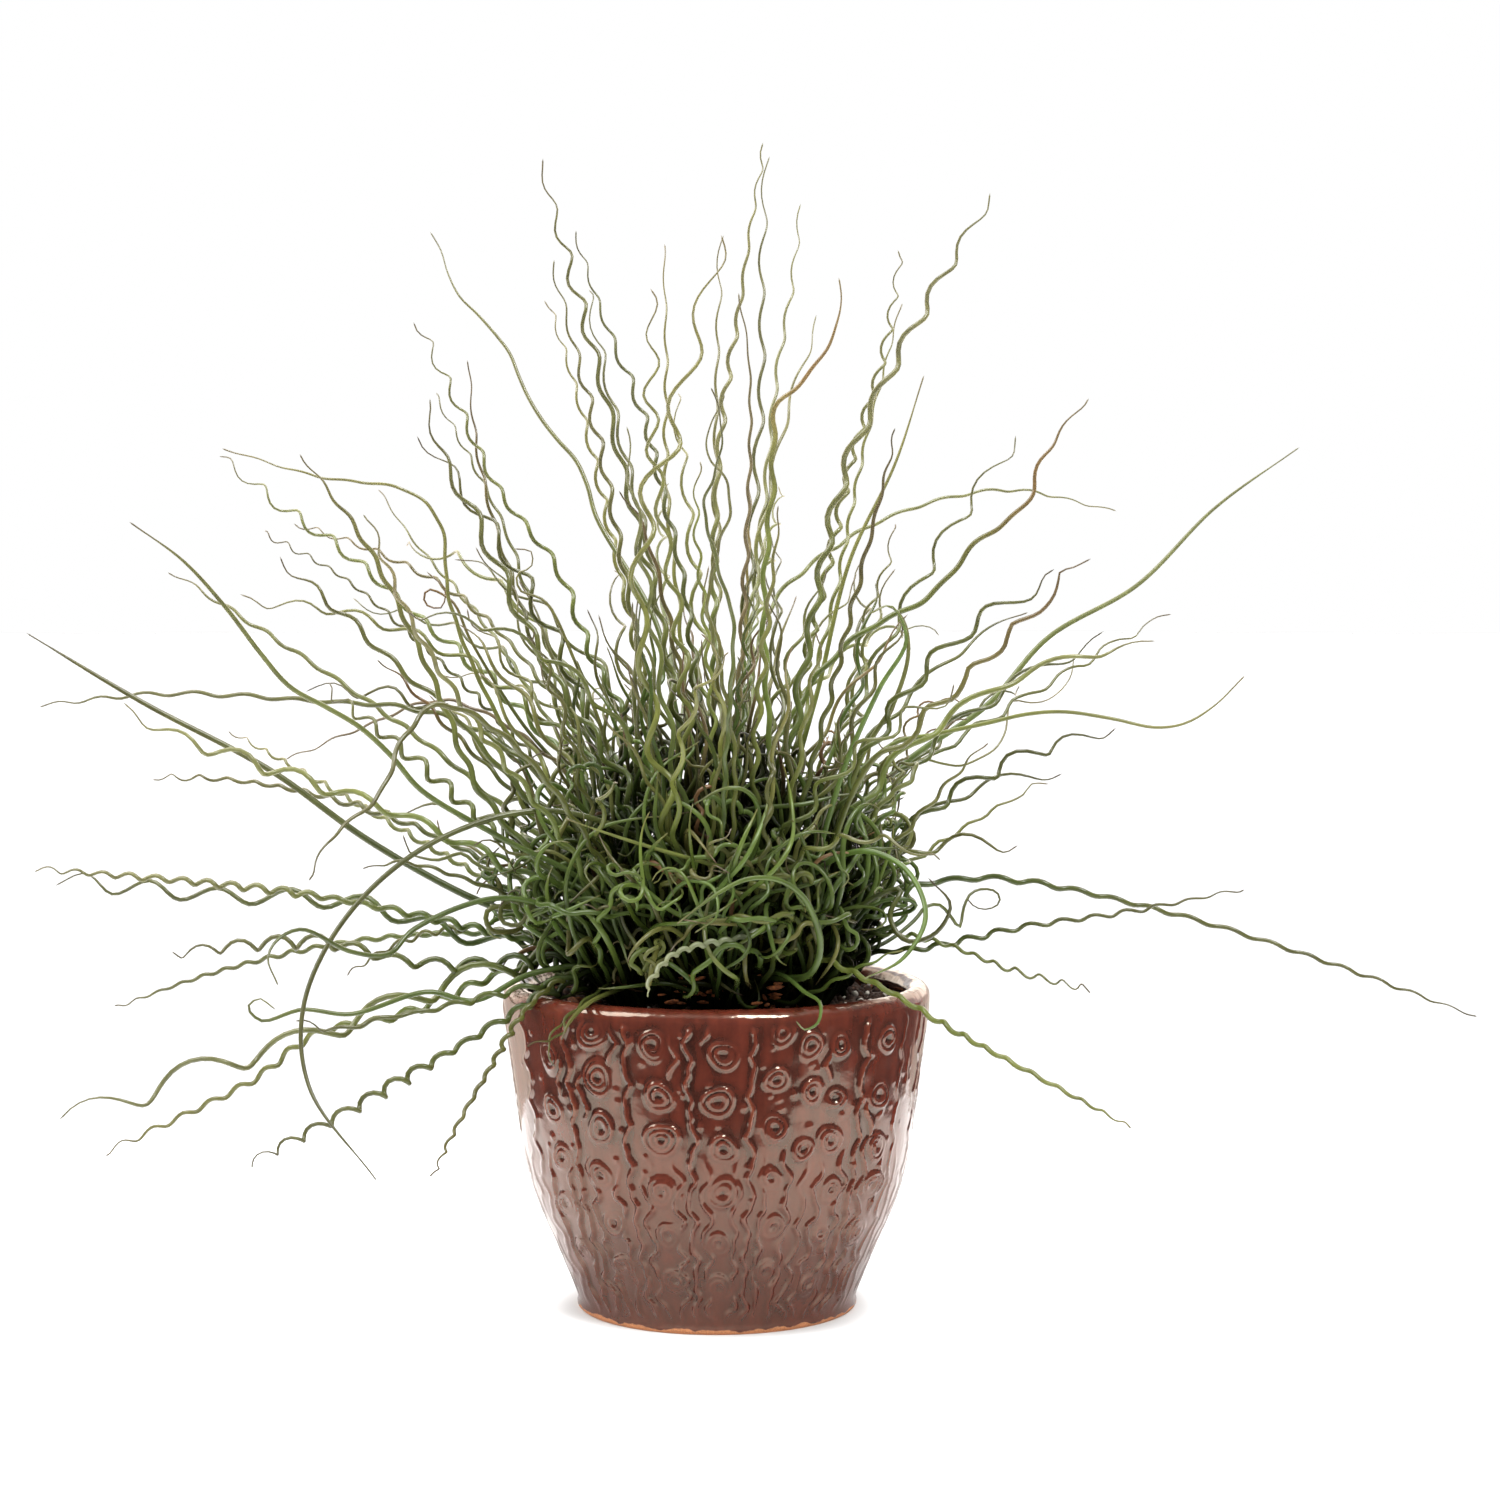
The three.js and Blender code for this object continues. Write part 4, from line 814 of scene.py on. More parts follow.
# Finer stems between those, which the solids leave out.
finerStems = {
    "upright": [
        ("olive", 60, 2.2, 26, 1.5, [(-57, 451), (-51, 424), (-43, 389), (-29, 332)]),
        ("olive", 100, 0.9, 25, 1.4, [(-23, 470), (-22, 416), (-22, 365), (-16, 306)]),
    ],
    "right_high": [
        ("dryTip", 150, 0, 20, 0.95, [(158, 287), (157, 281), (153, 275), (146, 270), (139, 269),
            (133, 270), (130, 269), (129, 263), (128, 256), (124, 249), (116, 244), (108, 241),
            (100, 242), (90, 244), (68, 236), (46, 199)]),
        ("olive", 110, 0.9, 20, 1.4, [(81, 444), (74, 416), (66, 385), (61, 361), (52, 314), (37, 252)]),
        ("olive", 90, 1.3, 18, 1.4, [(78, 348), (76, 332), (66, 306), (55, 261), (37, 217)]),
        ("rust", 70, 1.6, 12, 1.2, [(112, 269), (103, 270), (92, 268), (84, 257), (68, 230)]),
        ("rust", 50, 1.4, 12, 1.2, [(110, 262), (101, 258), (90, 253), (77, 235)]),
    ],
    "back": [
        ("dryTip", 80, 0.9, 20, 1.4, [(15, 377), (14, 332), (11, 270)]),
    ],
    "left_high": [
        ("olive", 120, 1.3, 18, 1.4, [(-124, 405), (-105, 370), (-93, 345), (-76, 297), (-47, 239)]),
        ("olive", 190, 0.9, 20, 1.4, [(-149, 363), (-134, 341), (-108, 311), (-83, 275), (-52, 221)]),
        ("olive", 110, 1.3, 12, 1.2, [(-200, 344), (-166, 325), (-135, 299), (-96, 261), (-56, 212)]),
        ("rust", 60, 0, 30, 1.3, [(-127, 326), (-120, 319), (-122, 311), (-129, 313), (-128, 319),
            (-117, 314), (-109, 297), (-87, 261), (-52, 217)]),
        ("olive", 40, 0, 20, 1.4, [(-88, 337), (-82, 336), (-82, 329), (-88, 326), (-87, 319),
            (-76, 314), (-63, 288), (-47, 244)]),
    ],
    "left_low": [
        ("olive", 0, 0, 20, 1.3, [(-124, 216), (-122, 210), (-116, 207), (-109, 205), (-105, 202),
            (-101, 199), (-61, 172)]),
        ("dryTip", -20, 0.7, 12, 1.2, [(-106, 184), (-104, 189), (-100, 192), (-95, 197), (-52, 180)]),
        ("olive", 190, 1.3, 15, 1.4, [(-215, 256), (-185, 239), (-154, 221), (-110, 195), (-70, 172)]),
        ("rust", 20, 0.9, 20, 1.4, [(-149, 288), (-135, 275), (-118, 257), (-87, 226), (-52, 190)]),
        ("olive", -60, 0.9, 14, 1.3, [(-156, 195), (-141, 198), (-105, 188), (-61, 168)]),
        ("olive", 20, 1.5, 12, 1.2, [(-164, 148), (-154, 155), (-141, 162), (-119, 168), (-88, 166),
            (-52, 159)]),
    ],
    "front_left": [
        ("green", -40, 0, 20, 1.3, [(-139, 209), (-136, 202), (-131, 200), (-124, 199), (-113, 202),
            (-108, 198), (-102, 195), (-94, 194), (-61, 170)]),
        ("green", -70, 0, 20, 1.3, [(-107, 206), (-103, 208), (-98, 207), (-92, 202), (-84, 202),
            (-75, 203), (-68, 200), (-40, 175)]),
        ("green", -100, 1.2, 16, 1.4, [(-186, 126), (-168, 123), (-150, 128), (-132, 131),
            (-110, 136), (-79, 143), (-48, 150)]),
        ("green", -122, 0.6, 16, 0.9, [(-84, 116), (-77, 118), (-69, 121), (-67, 128)]),
        ("green", -118, 0.6, 16, 0.8, [(-73, 107), (-75, 113), (-75, 118), (-72, 123)]),
        ("green", -60, 0, 20, 1.5, [(-96, 179), (-90, 186), (-83, 179), (-88, 170), (-96, 172),
            (-94, 181), (-76, 174), (-52, 159)]),
    ],
    "front": [
        ("lime", -104, 0, 20, 1.6, [(-66, 217), (-40, 208), (-9, 199), (5, 196), (19, 201), (26, 194),
            (22, 165)]),
        ("pinkish", -60, 0.9, 20, 1.4, [(10, 448), (14, 424), (15, 391), (13, 332)]),
        ("lime", -90, 1.3, 18, 1.4, [(-8, 375), (-9, 347), (-5, 306), (-1, 244)]),
        ("olive", -165, 0.5, 18, 1.3, [(3, 404), (-2, 392), (-5, 384), (-2, 376), (5, 365), (6, 354),
            (1, 339), (-2, 325), (-4, 314), (8, 244)]),
        ("fresh", -90, 0, 20, 1.6, [(-7, 179), (2, 187), (11, 179), (9, 168), (-1, 166), (-12, 170),
            (-16, 154)]),
    ],
    "front_right": [
        ("dryTip", -110, 0.9, 18, 1.4, [(79, 389), (74, 367), (63, 323), (50, 270), (37, 217)]),
        ("fresh", -100, 0, 20, 1.5, [(69, 309), (77, 312), (84, 297), (72, 275), (55, 235)]),
        ("green", -70, 0, 20, 1.5, [(69, 309), (75, 312), (82, 307), (85, 292), (79, 270), (64, 244)]),
        ("green", -80, 0, 20, 1.5, [(95, 190), (104, 179), (97, 166), (84, 163), (77, 174), (82, 186),
            (68, 181), (50, 163)]),
    ],
}


def crownAt(tuft):
    reach = 0 if tuft.get("middle") else rush["crownRing"]
    bearing = math.radians(tuft["bearing"])
    radius = rush["middleRadius"] if tuft.get("middle") else rush["crownRadius"]
    return Vector((reach * math.cos(bearing), reach * math.sin(bearing), float(soilTop(reach)))), radius


# The point at a depth that the eye sees at (across, up).
def sighted(point, depth):
    eye = Vector(rush["eye"])
    return eye.lerp(Vector((point[0], 0, point[1])), (depth - eye.y) / -eye.y)


def rootSpots(middle, radius, count):
    golden = math.pi * (3 - math.sqrt(5))
    spots = []
    for i in range(count):
        reach = rush["spots"] * radius * math.sqrt((i + 0.5) / count)
        spots.append(Vector((middle.x + reach * math.cos(i * golden), middle.y + reach * math.sin(i * golden),
                             middle.z - rush["root"])))
    return spots


# Takes the free root place on the side of the crown that a stem leans to.
def takeSpot(spots, middle, radius, lean):
    flat = Vector((lean.x, lean.y, 0)) / lean.length
    wanted = middle + flat * radius
    spots.sort(key=lambda spot: (spot - wanted).length)
    return spots.pop(0)


# Path of an outline stem: up from its root, then through its points, going back or forward evenly.
def outlinePath(root, tipDepth, points):
    upward = points[::-1]
    flat = [(root.x, root.z + rush["rise"])] + upward
    runs = [0]
    for a, b in zip(flat, flat[1:]):
        runs.append(runs[-1] + math.dist(a, b))
    path = [sighted(p, root.y + (tipDepth - root.y) * runs[i + 1] / runs[-1]) for i, p in enumerate(upward)]
    lean = path[0] - root
    first = root + Vector((lean.x, lean.y, 0)) * rush["firstLean"]
    first.z = root.z + rush["rise"]
    return [root, first] + path


# Path of a further stem: it leaves its crown steeply and bends over as it goes out.
def arcPath(draw, root, lengths, bearing, steepness, bending):
    length = draw(*lengths)
    steep = math.radians(draw(*steepness))
    bend = math.radians(draw(*bending))
    twist = math.radians(draw(*arcs["twist"]))
    path = [root, root + Vector((0, 0, rush["rise"]))]
    for i in range(1, arcs["steps"] + 1):
        rise = steep - bend * (i / arcs["steps"]) ** arcs["droop"]
        way = bearing + twist * (i / arcs["steps"])
        flat = math.cos(rise)
        step = Vector((flat * math.cos(way), flat * math.sin(way), math.sin(rise)))
        path.append(path[-1] + step * (length / arcs["steps"]))
    return path


# Sideways directions carried along a line without turning about it.
def carried(line):
    along = np.gradient(line, axis=0)
    along /= np.maximum(np.linalg.norm(along, axis=1), 1e-9)[:, None]
    side = Vector(rush["firstSide"])
    sides = []
    for way in along.tolist():
        way = Vector(way)
        side = (side - way * side.dot(way)).normalized()
        sides.append(side[:])
    sides = np.array(sides)
    return sides, np.cross(along, sides)


# A stem's line, on a coil about its path that opens up from the root and winds on to the tip.
# The coil also sways along the path, which gives it round bends one way and sharp ones the other.
def coiledLine(path, coil, pitch, phase, seed):
    spine = smoothLine([p[:] for p in path])
    length = np.linalg.norm(np.diff(spine, axis=0), axis=1).sum()
    step = min(rush["ringStep"], pitch / rush["ringsPerTurn"]) if coil else rush["ringStep"]
    spine, run = evenly(spine, max(int(length / step), rush["fewestRings"]))
    side, other = carried(spine)
    opened = rush["coilShare"] * coil * smoothStep(run, rush["rise"], rush["rise"] + rush["easeIn"])
    opened = opened * (1 + rush["coilWander"] * wobble(run, rush["coilWaves"] * pitch, seed))
    turn = phase + fullTurn * run / pitch
    turn = turn + rush["turnWander"] * wobble(run, rush["turnWaves"] * pitch, seed + rush["turnSeed"])
    sway = np.minimum(rush["scallop"] * opened, rush["scallopMost"] * pitch)
    sway = sway * np.clip(other[:, 0] - other[:, 2], -1, 1)
    along = np.gradient(spine, axis=0) / np.linalg.norm(np.gradient(spine, axis=0), axis=1)[:, None]
    return (spine + side * (opened * np.cos(turn))[:, None] + other * (opened * np.sin(turn))[:, None]
            + along * (sway * np.cos(turn))[:, None])


# The bush over the pot, which the curly stems are kept in. It narrows to the lip and falls off at its sides.
bush = {
    "radius": 93, "lipRadius": 74, "narrowing": 40, "rightHold": 20,
    "floor": 146, "floorGap": 6, "rootRun": 20, "top": 294, "topFall": 0.9, "flatTop": 30,
    "hold": 0.08, "holdOver": 4, "holdDown": 1.6, "holdUp": 2,   # how hard a stem is bent back at each side
}
curls = {
    "length": (35, 90), "bend": (6, 17), "twist": (14, 60), "radius": (1.12, 1.66), "step": 2.8,
    "steep": (35, 88), "easy": (15, 125), "easyPower": 1.1, "easyLength": 0.8,   # its easy first part
    "tight": (0.35, 1.7, 26), "roll": (1, 0.9, 60),   # even part, part that comes and goes, over what length
    "wound": 0.45, "coil": (0.9, 2.4), "pitch": (11, 21),
}


def heldInBush(way, point, run):
    out = math.hypot(point.x, point.y)
    narrowed = max(0, 1 - (point.z - bush["floor"]) / bush["narrowing"])
    reach = bush["radius"] - (bush["radius"] - bush["lipRadius"]) * narrowed
    reach -= bush["rightHold"] * max(0, point.x) / max(out, 1)
    if out > reach:
        way -= Vector((point.x, point.y, 0)) / out * bush["hold"] * (out - reach) / bush["holdOver"]
    if point.z > bush["top"] - bush["topFall"] * max(out - bush["flatTop"], 0):
        way.z -= bush["hold"] * bush["holdDown"]
    if point.z < bush["floor"] + bush["floorGap"] and run > bush["rootRun"]:
        way.z += bush["hold"] * bush["holdUp"]
    way.normalize()
    return way


# A stem that keeps curling, its bends tightening and easing, inside the bush.
def curlyLine(draw, root, bearing):
    steep = math.radians(draw(*curls["steep"]))
    way = Vector((math.cos(steep) * math.cos(bearing), math.cos(steep) * math.sin(bearing), math.sin(steep)))
    axis = way.cross(Vector((draw(-1, 1), draw(-1, 1), draw(-1, 1)))).normalized()
    bend, twist = draw(*curls["bend"]), draw(*curls["twist"]) * (1 if draw() < 0.5 else -1)
    seed = draw(0, 900)
    short, long = curls["easy"]
    easy = short + (long - short) * draw() ** curls["easyPower"] * math.sin(steep)
    step = curls["step"]
    count = int((draw(*curls["length"]) + curls["easyLength"] * easy) / step)
    point, line = root.copy(), [root[:]]
    for i in range(count):
        run = i * step
        ease = min(run / easy, 1) ** 2
        tight, roll = (ease * (even + more * noise.noise(Vector((run / length, seed, third)))) / size
                       for (even, more, length), third, size in ((curls["tight"], 0, bend),
                                                                 (curls["roll"], 7, twist)))
        way = heldInBush(way, point, run)
        axis = (axis - way * axis.dot(way)).normalized()
        turned = way * math.cos(step * tight) + axis.cross(way) * math.sin(step * tight)
        side = axis.cross(turned)
        axis = axis * math.cos(step * roll) + side * math.sin(step * roll)
        way = turned
        point = point + way * step
        line.append(point[:])
    return np.array(line)


clearance = {"gap": 0.4, "bellyGap": 0.8, "rootRun": 22, "leastUp": 0.5, "rounds": 2}


# Moves the points of a stem clear of the lip, the belly, the wall's inside and the soil.
def clearOfPot(line, radii):
    line = line.copy()
    run = np.concatenate([[0], np.cumsum(np.linalg.norm(np.diff(line, axis=0), axis=1))])
    need = radii + clearance["gap"]
    roll = pot["rimRoll"] + need
    for _ in range(clearance["rounds"]):
        out = np.maximum(np.hypot(line[:, 0], line[:, 1]), 1e-6)
        height = line[:, 2]
        lipOut, lipUp = out - rimMiddle[0], height - rimMiddle[1]
        upward = np.maximum(lipUp, clearance["leastUp"])
        size = np.hypot(lipOut, upward)
        hit = np.hypot(lipOut, lipUp) < roll
        newOut = np.where(hit, rimMiddle[0] + lipOut / size * roll, out)
        newUp = np.where(hit, rimMiddle[1] + upward / size * roll, height)
        outside = (lipUp < 0) & (lipOut > 0) & ~hit
        belly = bellyRadius(height)
        newOut = np.where(outside, np.maximum(newOut, belly + need + clearance["bellyGap"]), newOut)
        inside = (lipUp < 0) & (lipOut <= 0) & ~hit
        newOut = np.where(inside, np.minimum(newOut, belly - pot["wall"] - need), newOut)
        over = inside & (run > clearance["rootRun"])
        newUp = np.where(over, np.maximum(newUp, soilTop(newOut) + need), newUp)
        line[:, :2] *= (newOut / out)[:, None]
        line[:, 2] = newUp
    return line


# Draws a stem back inside the size of the solids, more towards its tip.
boxGap = {"least": 1.5, "overdone": 1.02, "easing": 1.5, "leastShare": 0.3}


def keepInside(line, radii):
    low = np.array(cadBox[0]) / mm + boxGap["least"] - (line - radii[:, None]).min(axis=0)
    high = (line + radii[:, None]).max(axis=0) - np.array(cadBox[1]) / mm + boxGap["least"]
    shift = np.maximum(low, 0) - np.maximum(high, 0)
    if not shift.any():
        return line
    share = np.linspace(0, 1, len(line))[:, None] ** boxGap["easing"]
    reach = share[np.argmax(np.abs(line - line[0]).max(axis=1))]
    return line + shift * boxGap["overdone"] * share / max(float(reach[0]), boxGap["leastShare"])


# Painted shade and age on a stem: painted shade darkens it deep in the bush and low down, and it turns dusty
# and dry high up and far out.
shadeAndAgeing = {
    # dim, dimTop, deep, shade and shadeHeights set the painted shade
    "dim": 0.92, "dimTop": 290, "deep": (0.03, 0.48), "shade": 0.76, "shadeHeights": (165, 270),
    "dry": 0.68, "dryHeights": (270, 430), "farDry": 0.62, "dryReaches": (105, 240), "dryShade": "#74734f",
    "dryDraw": (0.3, 1.5), "driest": 0.95, "light": (0.48, 1.04), "warm": 0.05,
}


# Colours along a stem, darkened with painted shade, with that painted shade as a fourth value, which also
# dulls its wax.
def shadeAlong(name, line, draw):
    stops = stemShades[name]
    places = [place for place, _ in stops]
    colours = np.array([hexToLinear(code)[:3] for _, code in stops])
    share = np.linspace(0, 1, len(line))
    out, height = np.hypot(line[:, 0], line[:, 1]), line[:, 2]
    # painted shade: darker deep inside the bush and low down
    deep = 1 - (out / bush["radius"]) ** 2
    deep = deep - ((height - bush["floor"]) / (shadeAndAgeing["dimTop"] - bush["floor"])) ** 2
    dim = 1 - shadeAndAgeing["dim"] * smoothStep(deep, *shadeAndAgeing["deep"])
    dim *= shadeAndAgeing["shade"] + (1 - shadeAndAgeing["shade"]) * smoothStep(height, *shadeAndAgeing["shadeHeights"])
    mixed = np.column_stack([np.interp(share, places, colours[:, k]) for k in range(3)])
    aged = np.maximum(smoothStep(height, *shadeAndAgeing["dryHeights"]),
                      shadeAndAgeing["farDry"] * smoothStep(out, *shadeAndAgeing["dryReaches"]))
    dry = np.minimum(shadeAndAgeing["dry"] * draw(*shadeAndAgeing["dryDraw"]) * aged, shadeAndAgeing["driest"])[:, None]
    mixed = mixed * (1 - dry) + np.array(hexToLinear(shadeAndAgeing["dryShade"])[:3]) * dry
    light = draw(*shadeAndAgeing["light"])
    warm = draw(-shadeAndAgeing["warm"], shadeAndAgeing["warm"])
    return np.column_stack([mixed * (light * dim)[:, None] * np.array([1 + warm, 1, 1 - warm]), dim])


# A closed tube along a line: rings of corners, a point at the tip, flattened where flat is under 1.
def tube(line, radii, sides, flat=1.0):
    side, other = carried(line)
    turn = np.arange(sides) / sides * fullTurn
    rings = (line[:, None] + radii[:, None, None] * (np.cos(turn)[None, :, None] * side[:, None]
             + flat * np.sin(turn)[None, :, None] * other[:, None]))
    tip = line[-1] + (line[-1] - line[-2]) * 0.5
    verts = np.vstack([rings.reshape(-1, 3), tip])
    grid = np.arange(len(line) * sides).reshape(-1, sides)
    a, b = grid[:-1], grid[1:]
    quads = np.stack([a, np.roll(a, -1, 1), np.roll(b, -1, 1), b], axis=2).reshape(-1, 4)
    faces = [tuple(f) for f in quads.tolist()]
    last = grid[-1].tolist()
    faces += [(last[k], last[(k + 1) % sides], len(verts) - 1) for k in range(sides)]
    faces.append(tuple(grid[0][::-1].tolist()))
    return verts, faces


# A stem thins slowly along its length and then quickly to a point, unless its end is in the soil.
def stemRadii(base, count, blunt, thinning):
    share = np.linspace(0, 1, count)
    taper = rush["bluntTaper"] if blunt else rush["taper"]
    radii = np.maximum(base * (1 - thinning * share) * (1 - share ** taper), rush["tip"])
    return radii * (1 + rush["footSwell"] * np.exp(-share * count / rush["swollenRings"]))


# The stems of one tuft as (line, radii, shade).
def growTuft(name, tuft, index):
    draw = draws(rush["firstSeed"] + index)
    middle, radius = crownAt(tuft)
    outline = outlineStems[name]
    count = len(outline) + tuft["extra"]
    spots = rootSpots(middle, radius, count)
    stems = []
    for i in range(count):
        bearing = math.radians(tuft["bearing"] + draw(-0.5, 0.5) * tuft["fan"])
        if i < len(outline):
            shade, tipDepth, coil, pitch, thick, points = outline[i]
            lean = sighted(points[-1], (middle.y + tipDepth) / 2) - middle
            root = takeSpot(spots, middle, radius, lean)
            phase = draw(0, fullTurn)
            path = outlinePath(root, tipDepth, points)
        else:
            shade = "green"
            root = takeSpot(spots, middle, radius, Vector((math.cos(bearing), math.sin(bearing), 1)))
            phase = draw(0, fullTurn)
            coil, pitch, thick = draw(*arcs["coil"]), draw(*arcs["pitch"]), draw(*arcs["radius"])
            path = arcPath(draw, root, tuft["lengths"], bearing, arcs["steep"], arcs["bend"])
        stems.append((coiledLine(path, coil, pitch, phase, index * rush["coilSeeds"] + i), thick, shade))
    return stems


wavyStems = {"steep": (68, 89), "bend": (4, 30), "lengths": (80, 185), "coil": (0.6, 2.8), "pitch": (22, 44),
             "radius": (1.05, 1.4)}
# each shade comes up below its number and above the one before
shadeChances = {
    "curly": [("fresh", 0.6), ("green", 0.78), ("dark", 0.92), ("olive", 0.975), ("straw", 1)],
    "wavy": [("green", 0.4), ("olive", 0.75), ("dryTip", 0.85), ("dark", 1)],
}


def shadeFor(draw, kind):
    pick = draw()
    return next(shade for shade, chance in shadeChances[kind] if pick < chance)


# More stems between those of the solids: wavy ones that stand, and curly ones low in the bush.
def fillTuft(name, tuft, index):
    draw = draws(rush["fillSeed"] + index)
    middle, radius = crownAt(tuft)
    stems = []
    for i, (shade, tipDepth, coil, pitch, thick, points) in enumerate(finerStems.get(name, [])):
        lean = sighted(points[-1], (middle.y + tipDepth) / 2) - middle
        root = takeSpot(rootSpots(middle, radius, rush["finerSpots"]), middle, radius, lean)
        seed = rush["finerCoilSeed"] + index * rush["coilSeeds"] + i
        path = outlinePath(root, tipDepth, points)
        stems.append((coiledLine(path, coil, pitch, draw(0, fullTurn), seed), thick, shade))
    fan = 360 if tuft.get("middle") else rush["fillFan"]
    for i in range(tuft["wavy"] + tuft["curly"]):
        bearing = math.radians(tuft["bearing"] + draw(-0.5, 0.5) * fan)
        reach = radius * math.sqrt(draw(0, rush["fillSpread"]))
        around = draw(0, fullTurn)
        root = middle + Vector((reach * math.cos(around), reach * math.sin(around), -rush["root"]))
        if i < tuft["wavy"]:
            kind, look = "wavy", wavyStems
            path = arcPath(draw, root, look["lengths"], bearing, look["steep"], look["bend"])
            winds = True
        else:
            kind, look = "curly", curls
            line = curlyLine(draw, root, bearing)
            path = [Vector(p) for p in line[::4]]
            winds = draw() < curls["wound"]
        if winds:
            coil, pitch = draw(*look["coil"]), draw(*look["pitch"])
            line = coiledLine(path, coil, pitch, draw(0, fullTurn), draw(0, 900))
        stems.append((line, draw(*look["radius"]), shadeFor(draw, kind)))
    return stems


# Dry sheaths: papery brown scales that stand round the feet of the stems.
sheaths = {
    "each": 16, "length": (14, 42), "width": (1.1, 2.4), "tipWidth": 0.15, "taper": 2.2, "flat": 0.22,
    "lean": (4, 34), "curve": (0.4, 1.3), "astray": 0.9, "ring": (0.3, 1.15), "sunk": 2,
    "sides": 6, "rings": 9, "seed": 900,
}


def growSheaths(tuft, index):
    rng = random.Random(sheaths["seed"] + index)
    middle, radius = crownAt(tuft)
    share = np.linspace(0, 1, sheaths["rings"])
    start, more = sheaths["curve"]
    scales = []
    for _ in range(sheaths["each"]):
        around = rng.uniform(0, fullTurn)
        reach = radius * rng.uniform(*sheaths["ring"])
        root = middle + Vector((reach * math.cos(around), reach * math.sin(around), -sheaths["sunk"]))
        lean = math.radians(rng.uniform(*sheaths["lean"]))
        way = around + rng.uniform(-sheaths["astray"], sheaths["astray"])
        along = rng.uniform(*sheaths["length"]) * share
        tilt = lean * (start + more * share)
        line = np.column_stack([root.x + along * np.sin(tilt) * math.cos(way),
                                root.y + along * np.sin(tilt) * math.sin(way),
                                root.z + along * np.cos(tilt)])
        width = rng.uniform(*sheaths["width"]) * (1 - share ** sheaths["taper"]) + sheaths["tipWidth"]
        scales.append((line, width))
    return scales


# Living rush stem, grown: smooth with a thin wax bloom, so a soft narrow highlight runs along it.
rushSkin = {"roughness": 0.25, "ior": 1.42, "wax": 0.62, "mottle": 9, "mottled": (0.85, 1.15)}


def makeRushSkin():
    material, tree = startMaterial("waxyRushStem")
    place = addNode(tree, "TexCoord").outputs["Object"]
    own = addNode(tree, "Attribute", {"attribute_name": "stemShade"})
    patches = addNode(tree, "TexNoise", {}, {
        "Vector": place, "Scale": 1 / (rushSkin["mottle"] * mm), "Detail": 1.0})
    light = addNode(tree, "MapRange", {}, {
        "Value": patches.outputs["Fac"], "From Min": noiseLow, "From Max": noiseHigh,
        "To Min": rushSkin["mottled"][0], "To Max": rushSkin["mottled"][1]})
    colour = addNode(tree, "VectorMath", {"operation": "SCALE"}, {
        "Vector": own.outputs["Color"], "Scale": light.outputs[0]})
    # the stem's painted shade, held in its fourth value, also dulls the wax's shine
    wax = addNode(tree, "Math", {"operation": "MULTIPLY"}, {0: own.outputs["Alpha"], 1: rushSkin["wax"]})
    finishMaterial(tree, {"Base Color": colour.outputs[0], "Roughness": rushSkin["roughness"],
                          "IOR": rushSkin["ior"], "Specular IOR Level": wax.outputs[0]})
    return material


# the crown: the short rootstock that a tuft's stems stand on
crown = {"size": (0.9, 0.9, 9), "sunk": 3, "shade": "#3b2a19", "wax": 0.2}


def makeTuft(name, tuft, index, skin):
    draw = draws(rush["shadeSeed"] + index)
    parts, colours = [], []

    def addTube(line, radii, sides, shade, flat=1.0):
        parts.append(tube(line, radii, sides, flat))
        along = shadeAlong(shade, line, draw)
        colours.append(np.vstack([np.repeat(along, sides, axis=0), along[-1:]]))

    stems = growTuft(name, tuft, index)
    traced = len(stems) + len(finerStems.get(name, []))
    for number, (line, thick, shade) in enumerate(stems + fillTuft(name, tuft, index)):
        thinning = tuft.get("thinning", rush["thinning"]) * (1 if number < traced else rush["shortThinning"])
        radii = stemRadii(thick, len(line), shade == "pale", thinning)
        line = keepInside(clearOfPot(line, radii), radii)
        addTube(line, radii, rush["sides"] if number < traced else rush["shortSides"], shade)
    for line, width in growSheaths(tuft, index):
        addTube(line, width, sheaths["sides"], "straw", sheaths["flat"])
    middle, radius = crownAt(tuft)
    wide, deep, tall = crown["size"]
    verts, faces = lump(random.Random(index), middle - Vector((0, 0, crown["sunk"])),
                        (radius * wide, radius * deep, tall))
    parts.append((np.array(verts), faces))
    colours.append(np.tile(hexToLinear(crown["shade"])[:3] + (crown["wax"],), (len(verts), 1)))
    start, faces = 0, []
    for verts, own in parts:
        faces += [tuple(i + start for i in f) for f in own]
        start += len(verts)
    makePiece("rush_" + name, np.vstack([verts for verts, _ in parts]), faces, skin, "stems",
              ["tuft_" + name], {"stemShade": np.vstack(colours)})


